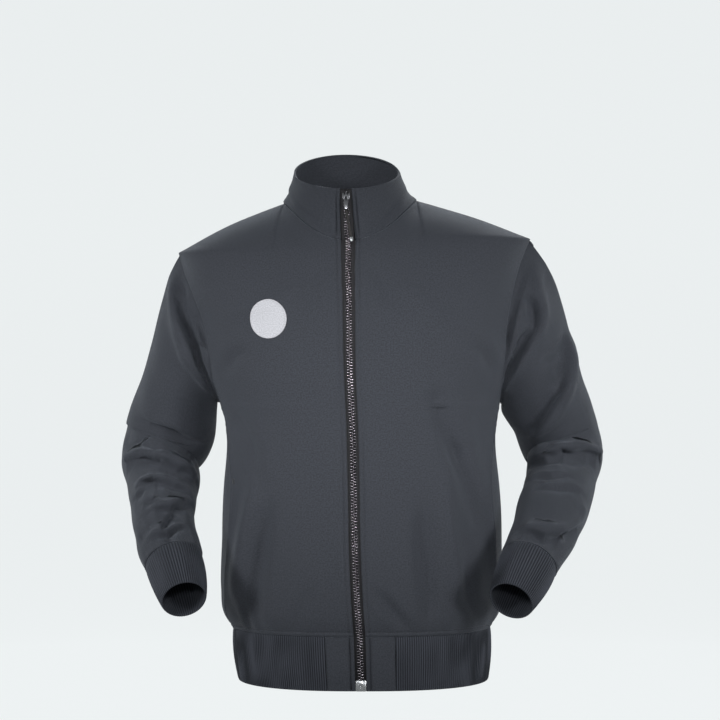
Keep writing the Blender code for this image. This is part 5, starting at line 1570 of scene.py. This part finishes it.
def tooth(centre, along, out, side, lean):
    """One tooth: a rounded block whose head reaches over the middle of the zip."""
    along, out = unit(along), unit(out)
    right = np.cross(along, out)
    aside = right * side if right[0] > 0 else -right * side
    along, out = unit(along + out * lean[0]), unit(out - along * lean[0] + aside * lean[1])
    outline = [*TOOTH_OUTLINE, *((x, -w) for x, w in TOOTH_OUTLINE[::-1])]
    return loft([np.array([
        centre + aside * (TOOTH_MIDDLE + (x - TOOTH_MIDDLE) * (0.35 + 0.65 * size))
        + along * w * TOOTH_PITCH * 0.86 * size + out * lift for x, w in outline])
        for lift, size in TOOTH_LEVELS])


def make_zip(rows, tape_finish, tooth_finish):
    """Tapes and teeth. The tapes bulge a little under the teeth, where they're sewn on."""
    centre, out = rows["centre"], rows["out"]
    face = CLOTH + 1.4 * GAP
    for side, name in ((RIGHT, "zip_tape_right"), (LEFT, "zip_tape_left")):
        middle, reach = rows[side]
        start = centre + (side * GAP / 2, 0, 0)
        columns = [start, mix(start, middle, 0.4), mix(start, middle, 0.5), mix(start, middle, 0.62),
                   middle, mix(middle, reach, 0.5), reach]
        lifts = [0, 0.0001, 0.0006, 0.0001, 0, 0, 0]
        across = np.stack([c + out * lift for c, lift in zip(columns, lifts)], axis=1)
        outer = across - out[:, None] * face
        obj = shell(name + "_weave", outer, outer - out[:, None] * TAPE_WALL, False, tape_finish)
        wear(obj, "jacket", "tape", name)
    run = run_along(centre)
    low = np.interp(BOX_TOP + GAP, centre[:, 2], run)
    high = np.interp(SLIDER_HEIGHT - SLIDER_HALF_LENGTH - GAP, centre[:, 2], run)
    blocks = []
    draw = np.random.default_rng(17)
    count = int((high - low) / TOOTH_PITCH)
    for k in range(count):
        for side in (RIGHT, LEFT):
            at = low + (k + (0.25 if side == RIGHT else 0.75)) * (high - low) / count
            spots = read_line(centre, run, np.array([at - 0.001, at, at + 0.001]))
            way = read_line(out, run, np.array([at]))[0]
            sway = math.sin(k * 0.13) + 0.8 * math.sin(k * 0.047 + 2.0) + 0.5 * math.sin(k * 0.31)
            lean = draw.normal(0, 0.04, 2) + (0.20 * sway - 0.10, 0.06 * math.sin(k * 0.071 + 1))
            blocks.append(tooth(spots[1], spots[2] - spots[0], way, side, lean))
    wear(join_blocks("zip_teeth", blocks, tooth_finish), "jacket", "teeth", "zip_chain")


def zip_frame(height):
    """Place and tilt of the zip at a height on the collar: X across, Y into the body, Z up it."""
    rise = (height - NECK_FRONT) / (RIM_FRONT - NECK_FRONT)
    spots = collar_point(np.zeros(3), np.array([rise - 0.05, rise, rise + 0.05]))
    along = spots[2] - spots[0]
    tilt = -math.atan2(along[1], along[2])
    return Matrix.Translation(Vector(spots[1])) @ Matrix.Rotation(tilt, 4, "X")


def pull_pivot():
    """The middle of the bail, which the pull swings on."""
    return zip_frame(SLIDER_HEIGHT) @ Vector((0, -(CHAIN_TOP + GAP + SLIDER_PLATE + BAIL_RISE), 0))


def moved(placing, shapes):
    """Blocks moved from a piece's own frame to the object's."""
    turn = np.array(placing.to_3x3())
    shift = np.array(placing.translation)
    return [(np.asarray(points) @ turn.T + shift, faces) for points, faces in shapes]


def plate(outline, levels):
    """A cushioned plate: an outline in X and Z, drawn in at each level of Y."""
    return loft([np.array([(x * size, y, z * size) for x, z in outline]) for y, size in levels])


def tube(path, radius, sides=10, flat=1.0):
    """A round bar along a path of points."""
    path = np.asarray(path, float)
    way = unit(np.gradient(path, axis=0))
    first = unit(np.cross(way[0], (0.3, 1.0, 0.2)))
    turn = np.arange(sides) * 2 * np.pi / sides
    rings = []
    for spot, along in zip(path, way):
        first = unit(first - along * np.dot(first, along))
        rings.append(spot + radius * oval(turn, first, flat * np.cross(along, first)))
    return loft(rings)


def make_slider(finish):
    """Slider body with two shoulders and a nose, its under plate and the bail over it."""
    placing = zip_frame(SLIDER_HEIGHT)
    top = -(CHAIN_TOP + GAP)
    back = top - SLIDER_PLATE
    half = SLIDER_HALF_LENGTH
    heart = [(0.0, half * 0.55), (0.0014, half * 0.92), (0.0034, half), (0.0047, half * 0.72),
             (0.0050, half * 0.2), (0.0043, -half * 0.45), (0.0036, -half), (0.0, -half)]
    heart = heart + [(-x, z) for x, z in heart[::-1][1:-1]]
    shapes = [plate(heart, ((top, 0.98), (top - 0.0003, 1.0), (back + 0.0003, 0.97), (back, 0.86)))]
    for side in (-1, 1):
        wall = [(side * 0.0037, -half), (side * 0.0048, -half * 0.9), (side * 0.0050, half * 0.3),
                (side * 0.0046, half * 0.9), (side * 0.0038, half * 0.8), (side * 0.00375, 0.0)]
        shapes.append(plate(wall, ((top - 0.0002, 1.0), (CLOTH, 1.0))))
    arch = [(0.0, back + 0.0004, half * 0.75), (0.0, back - 0.0016, half * 0.72),
            (0.0, back - 0.0034, half * 0.35), (0.0, back - BAIL_RISE, 0.0006),
            (0.0, back - 0.0031, -half * 0.35), (0.0, back - 0.0017, -half * 0.62),
            (0.0, back + 0.0004, -half * 0.66)]
    shapes.append(tube(smooth_path(arch, 25), 0.0008, 10, 1.2))
    obj = join_blocks("slider_body", moved(placing, shapes), finish)
    wear(obj, "jacket", "metal", "zip_slider")


def smooth_path(points, count):
    """A smooth run through a few points."""
    points = np.asarray(points, float)
    keys = dict(zip("xyz", points.T), at=np.linspace(0, 1, len(points)))
    at = np.linspace(0, 1, count)
    return stack(*(curve(keys, "at", c, at) for c in ("x", "y", "z")))


def make_pull(tab_finish, tip_finish, cord_finish):
    """Metal tab with an eye, then a moulded cord loop and its metal tip, on the pull's own body."""
    lean = Matrix.Rotation(math.radians(-PULL_LEAN), 4, "X")
    placing = Matrix.Translation(pull_pivot()) @ lean
    eye = oval(np.linspace(0, 2 * np.pi, 28), (0, 0.0015, 0), (0, 0, 0.0016)) + (0, 0, -0.0002)
    half = PULL_WALL / 2
    tab = loft([np.array([(x * size, y, -PULL_MIDDLE + (z + PULL_MIDDLE) * (0.5 + 0.5 * size))
                          for x, z in PULL_OUTLINE])
                for y, size in ((-half, 0.86), (-half * 0.6, 0.97),
                                (half * 0.6, 0.97), (half, 0.86))])
    shapes = [tube(eye, 0.0006, 8), tab]
    wear(join_blocks("pull_tab", moved(placing, shapes), tab_finish), "pull", "metal", "zip_pull")
    slant = math.asin((PULL_END_X - pull_pivot()[0]) / (CORD_LENGTH + TIP_LENGTH))
    sideways_lean = Matrix.Rotation(-slant, 4, "Y")
    hang = placing @ Matrix.Translation((0, 0, -PULL_LENGTH - GAP)) @ sideways_lean
    drop = CORD_RADIUS * math.sin(abs(slant))
    turn = np.arange(20) * np.pi / 10
    groove = 1 - 0.12 * np.cos(2 * turn) ** 8
    cord = loft([stack(CORD_RADIUS * wide * np.cos(turn), CORD_RADIUS * deep * groove * np.sin(turn),
                       -drop - f * CORD_LENGTH) for f, wide, deep in CORD_RINGS])
    tip = loft([stack(TIP_RADIUS * size * np.cos(turn), TIP_RADIUS * size * np.sin(turn),
                      -CORD_LENGTH - drop - GAP - f * TIP_LENGTH) for f, size in TIP_RINGS])
    for name, shape, finish, slot, node in (
            ("pull_cord_moulded", cord, cord_finish, "tape", "pull_cord"),
            ("pull_tip", tip, tip_finish, "metal", "pull_end")):
        wear(join_blocks(name, moved(hang, [shape]), finish), "pull", slot, node)


def make_zip_box(rows, finish):
    """The retainer at the zip's lower end, with the pin that slots into it."""
    centre, above = rows["centre"][:2]
    face = CLOTH + 0.4 * GAP
    lean = above - centre
    tilt = -math.atan2(lean[1], lean[2])
    middle = (BAND_BOTTOM + BOX_TOP) / 2
    spot = Vector(centre + lean * (middle - BAND_BOTTOM) / lean[2])
    placing = Matrix.Translation(spot) @ Matrix.Rotation(tilt, 4, "X")
    half = (BOX_TOP - BAND_BOTTOM) / 2
    wide = BOX_HALF_WIDTH
    outline = [(-wide, -half + 0.0012), (-wide + 0.0012, -half), (wide - 0.0012, -half),
               (wide, -half + 0.0012), (wide, half - 0.0016), (wide - 0.0016, half),
               (-wide + 0.0016, half), (-wide, half - 0.0016)]
    shapes = [plate(outline, ((face, 0.97), (face - 0.0004, 1.0),
                              (-BOX_RISE + 0.0005, 1.0), (-BOX_RISE, 0.93)))]
    for x, z0, z1 in ((-0.0043, -0.0050, 0.0052), (0.0043, -0.0050, 0.0052), (0.0, -0.0058, -0.0018)):
        shapes.append(tube([(x, -BOX_RISE, z0), (x, -BOX_RISE - 0.0003, mix(z0, z1, 0.1)),
                            (x, -BOX_RISE - 0.0003, mix(z0, z1, 0.9)), (x, -BOX_RISE, z1)], 0.0007, 8))
    shapes.append(plate([(-0.0021, -0.0010), (0.0021, -0.0010), (0.0021, 0.0058), (-0.0021, 0.0058)],
                        ((-BOX_RISE + 0.0002, 1.0), (-BOX_RISE - 0.0005, 0.9))))
    obj = join_blocks("zip_retainer", moved(placing, shapes), finish)
    wear(obj, "jacket", "metal", "zip_box")


# Badge, pockets and sewing


def front_place(side, x, z):
    """The place on a front panel that shows at x and z."""
    across, up = np.full_like(x, 0.5), np.full_like(x, 1.4)
    step = 1e-3
    for _ in range(10):
        here = body_surface(side, FRONT, across, up)
        by_across = (body_surface(side, FRONT, across + step, up) - here) / step
        by_up = (body_surface(side, FRONT, across, up + step) - here) / step
        dx, dz = x - here[..., 0], z - here[..., 2]
        size = by_across[..., 0] * by_up[..., 2] - by_across[..., 2] * by_up[..., 0]
        across = across + (dx * by_up[..., 2] - dz * by_up[..., 0]) / size
        up = up + (dz * by_across[..., 0] - dx * by_across[..., 2]) / size
    return across, up


def make_badge(panel, finish):
    """A bare round patch with a satin-stitched border, laid on the front's own surface."""
    turn = np.arange(BADGE_SIDES) * 2 * np.pi / BADGE_SIDES
    radii = BADGE_RADII[:, None]
    x = BADGE_X + BADGE_HALF_WIDTH * radii * np.cos(turn)
    z = BADGE_Z + BADGE_HALF_HEIGHT * radii * np.sin(turn)
    across, up = front_place(RIGHT, x, z)
    columns = np.interp(across, body_across(FRONT), np.arange(panel.grid.shape[1]))
    rows = np.interp(up, body_rows(), np.arange(panel.grid.shape[0]))
    under, out = surface_line(panel, rows, columns)
    border = 0.0007 * np.clip(1 - ((radii - 0.95) / 0.055) ** 2, 0, 1) ** 0.5
    satin = 1 + 0.14 * np.cos(turn * BADGE_SIDES / 2)
    rise = BADGE_WALL * 0.7 + border * satin - 0.0004 * (radii > 0.99)
    under = under + out * 0.0003
    outer = under + out * rise[..., None]
    flat = tuple(np.concatenate([k, k[:, :1]], axis=1) for k in (x, z))
    wear(shell("badge_patch", outer, under, True, finish, flat), "jacket", "badge", "badge")


def make_facings(finish):
    """The strip of cloth behind each pocket's slit."""
    for side, name in ((RIGHT, "pocket_facing_right"), (LEFT, "pocket_facing_left")):
        heights = np.linspace(POCKET_BOTTOM - 0.003, POCKET_TOP - 0.003, 30)
        rows = (heights - HEM_SEAM) / (ARMPIT - HEM_SEAM)
        columns = []
        for face in (FRONT, BACK):
            beside = np.full_like(rows, 1 - 1 / (NECK_COLUMNS[face] + SHOULDER_COLUMNS))
            columns.append(body_surface(side, face, beside, rows))
        seam = body_point(side, FRONT, np.ones_like(rows), rows)
        ahead, behind = columns
        grid = np.stack([ahead, mix(ahead, seam, 0.5), seam, mix(seam, behind, 0.5), behind], axis=1)
        out = grid_normals(grid, False, POCKET_MIDDLE)
        grid = grid - out * (CLOTH + FACING_CLEARANCE + 0.0010)
        obj = shell(name + "_cloth", grid, grid - out * FACING_WALL, False, finish)
        wear(obj, "jacket", "cloth", name)


def surface_line(piece, rows, columns):
    """Points and normals of a piece's outer surface at fractional grid places."""
    rows, columns = np.asarray(rows, float), np.asarray(columns, float)
    i = np.clip(np.floor(rows).astype(int), 0, piece.grid.shape[0] - 2)
    j = np.clip(np.floor(columns).astype(int), 0, piece.grid.shape[1] - 2)
    f, g = (rows - i)[..., None], (columns - j)[..., None]

    def read(values):
        low, high = (mix(values[k, j], values[k, j + 1], g) for k in (i, i + 1))
        return mix(low, high, f)

    return read(piece.grid), unit(read(piece.normals))


def at_distance(values, wanted):
    """Fractional place along each row where a distance is reached."""
    return np.array([np.interp(wanted, row, np.arange(len(row))) for row in values])


def make_sewing(pieces, finish):
    """Topstitching beside the zip and above the hem seam, and the pockets' bar tacks."""
    blocks = []
    for side, name in ((RIGHT, "front_right"), (LEFT, "front_left")):
        piece = pieces[name]
        u, v = (np.abs(k) for k in piece.cut)
        blocks += sew(piece, np.arange(len(u)), at_distance(u, STITCH_FROM_ZIP))
        blocks += sew(piece, at_distance(v.T, STITCH_UP_HEM), np.arange(u.shape[1]))
        for height in (POCKET_TOP + TACK_BEYOND, POCKET_BOTTOM - TACK_BEYOND):
            blocks += bar_tack(side, height)
    u, v = pieces["back"].cut
    blocks += sew(pieces["back"], at_distance(v.T, STITCH_UP_HEM), np.arange(u.shape[1]))
    u, v = pieces["collar"].cut
    rows = np.arange(3, len(u) - 3)
    for columns in (at_distance(u, STITCH_FROM_ZIP), at_distance(u - u[:, -1:], -STITCH_FROM_ZIP)):
        blocks += sew(pieces["collar"], rows, columns[rows])
    wear(join_blocks("topstitching", blocks, finish), "jacket", "cloth")


def bar_tack(side, height):
    """Close stitches one over another across a pocket's end."""
    across = np.array(TACK_ACROSS)
    blocks = []
    for k in range(TACK_STITCHES):
        step = height + (k - TACK_STITCHES // 2) * TACK_PITCH
        up = np.full(2, (step - HEM_SEAM) / (ARMPIT - HEM_SEAM))
        out = surface_normal(lambda a, b: body_point(side, FRONT, a, b), across, up, side)
        spots = body_surface(side, FRONT, across, up) + out * TACK_LIFT
        blocks.append(stitch(spots[0], spots[1], out[0], TACK_RADIUS))
    return blocks


# Studio


def make_studio():
    """Pale floor that curves up all round, soft lights and the camera."""
    turn = np.linspace(0, np.pi / 2, 24)
    radius = np.concatenate([[0.02, 1.2, 2.4], BACKDROP + CURVE * np.sin(turn), [BACKDROP + CURVE]])
    height = np.concatenate([[FLOOR] * 3, FLOOR + CURVE * (1 - np.cos(turn)), [PAPER_TOP]])
    circle = np.linspace(0, 2 * np.pi, 64, endpoint=False)
    grid = stack(np.outer(radius, np.cos(circle)), np.outer(radius, np.sin(circle)), height[:, None])
    rows, columns = grid.shape[:2]
    index = np.arange(rows * columns).reshape(rows, columns)
    after = np.roll(index, -1, axis=1)
    faces = [(index[i, j], after[i, j], after[i + 1, j], index[i + 1, j])
             for i in range(rows - 1) for j in range(columns)]
    faces.append(tuple(index[0]))
    n = Nodes("studio_paper", PAPER, 0.9)
    place = n.space()
    n.bump(n.noise(place, 60.0), 0.0006, 0.2)
    n.set("Specular IOR Level", 0.1)
    glow = n.add("MapRange", {"Value": n.parts(place)[1], "From Min": GLOW_NEAR,
                              "From Max": GLOW_FAR, "To Min": GLOW_FRONT, "To Max": 1.0},
                 interpolation_type="SMOOTHSTEP")
    n.set("Emission Color", (*PAPER_GLOW, 1))
    n.link(glow.outputs[0], "Emission Strength")
    n.finish.cycles.emission_sampling = "NONE"
    mesh_piece("studio_floor", grid, faces, n.finish)
    for name, spot, aim, size, power, spread, colour in LIGHTS:
        data = bpy.data.lights.new(name, "AREA")
        data.shape = "RECTANGLE"
        data.size, data.size_y = size
        data.energy = power
        data.spread = math.radians(spread)
        data.color = colour
        lamp = bpy.data.objects.new(name, data)
        lamp.location = spot
        lamp.rotation_euler = (Vector(aim) - Vector(spot)).to_track_quat("-Z", "Y").to_euler()
        bpy.context.scene.collection.objects.link(lamp)
    world = bpy.data.worlds.new("studio")
    world.use_nodes = True
    sky = world.node_tree.nodes["Background"].inputs
    sky[0].default_value, sky[1].default_value = (*SKY, 1), SKY_STRENGTH
    bpy.context.scene.world = world
    data = bpy.data.cameras.new("camera")
    data.lens, data.sensor_width = CAMERA_LENS, CAMERA_SENSOR
    camera = bpy.data.objects.new("camera", data)
    camera.location = CAMERA_PLACE
    camera.rotation_euler = (math.radians(90), 0, 0)
    bpy.context.scene.collection.objects.link(camera)
    bpy.context.scene.camera = camera
    view = bpy.context.scene.view_settings
    view.view_transform = "Standard"
    view.look = "None"
    view.exposure = 0.0
    view.gamma = 1.0


def declare_sheets():
    """Reads each sheet's carriers as a list; nothing is made from them."""
    for name, width, length, area, held, carriers in SHEETS:
        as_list(carriers)


def main():
    cloth = knit("double_knit_cloth", CLOTH_COLOUR, wale=0.0012, course=0.0010, depth=0.00022,
                 sheen=0.22)
    rib = rib_knit("rib_knit", RIB_COLOUR, RIB_GROOVE_SHADE)
    tape = woven("zip_tape_weave", TAPE_COLOUR, 0.0010, 0.00012)
    chrome = metal("polished_metal", METAL_COLOUR, 0.22)
    nickel = metal("dark_nickel", NICKEL_COLOUR, 0.20)
    cast = metal("cast_metal", METAL_COLOUR, 0.24, scratch=0.0006, grain=700.0)
    gunmetal = metal("gunmetal_teeth", TEETH_COLOUR, 0.18, TEETH_TINT)
    cord = woven("cord_sheath", CORD_COLOUR, 0.0012, 0.00015, 0.55, solid=True)
    patch = woven("badge_weave", BADGE_COLOUR, 0.0008, 0.00010, 0.75)
    sewing = thread("sewing_thread", THREAD_COLOUR)
    pieces = make_cloth(cloth)
    make_hem_rib(rib)
    make_cuffs(rib)
    make_tabs(cloth)
    rows = zip_rows({RIGHT: pieces["front_right"].grid, LEFT: pieces["front_left"].grid})
    make_zip(rows, tape, gunmetal)
    make_slider(nickel)
    make_pull(nickel, chrome, cord)
    make_zip_box(rows, cast)
    make_badge(pieces["front_right"], patch)
    make_facings(cloth)
    make_sewing(pieces, sewing)
    declare_sheets()
    make_studio()


main()
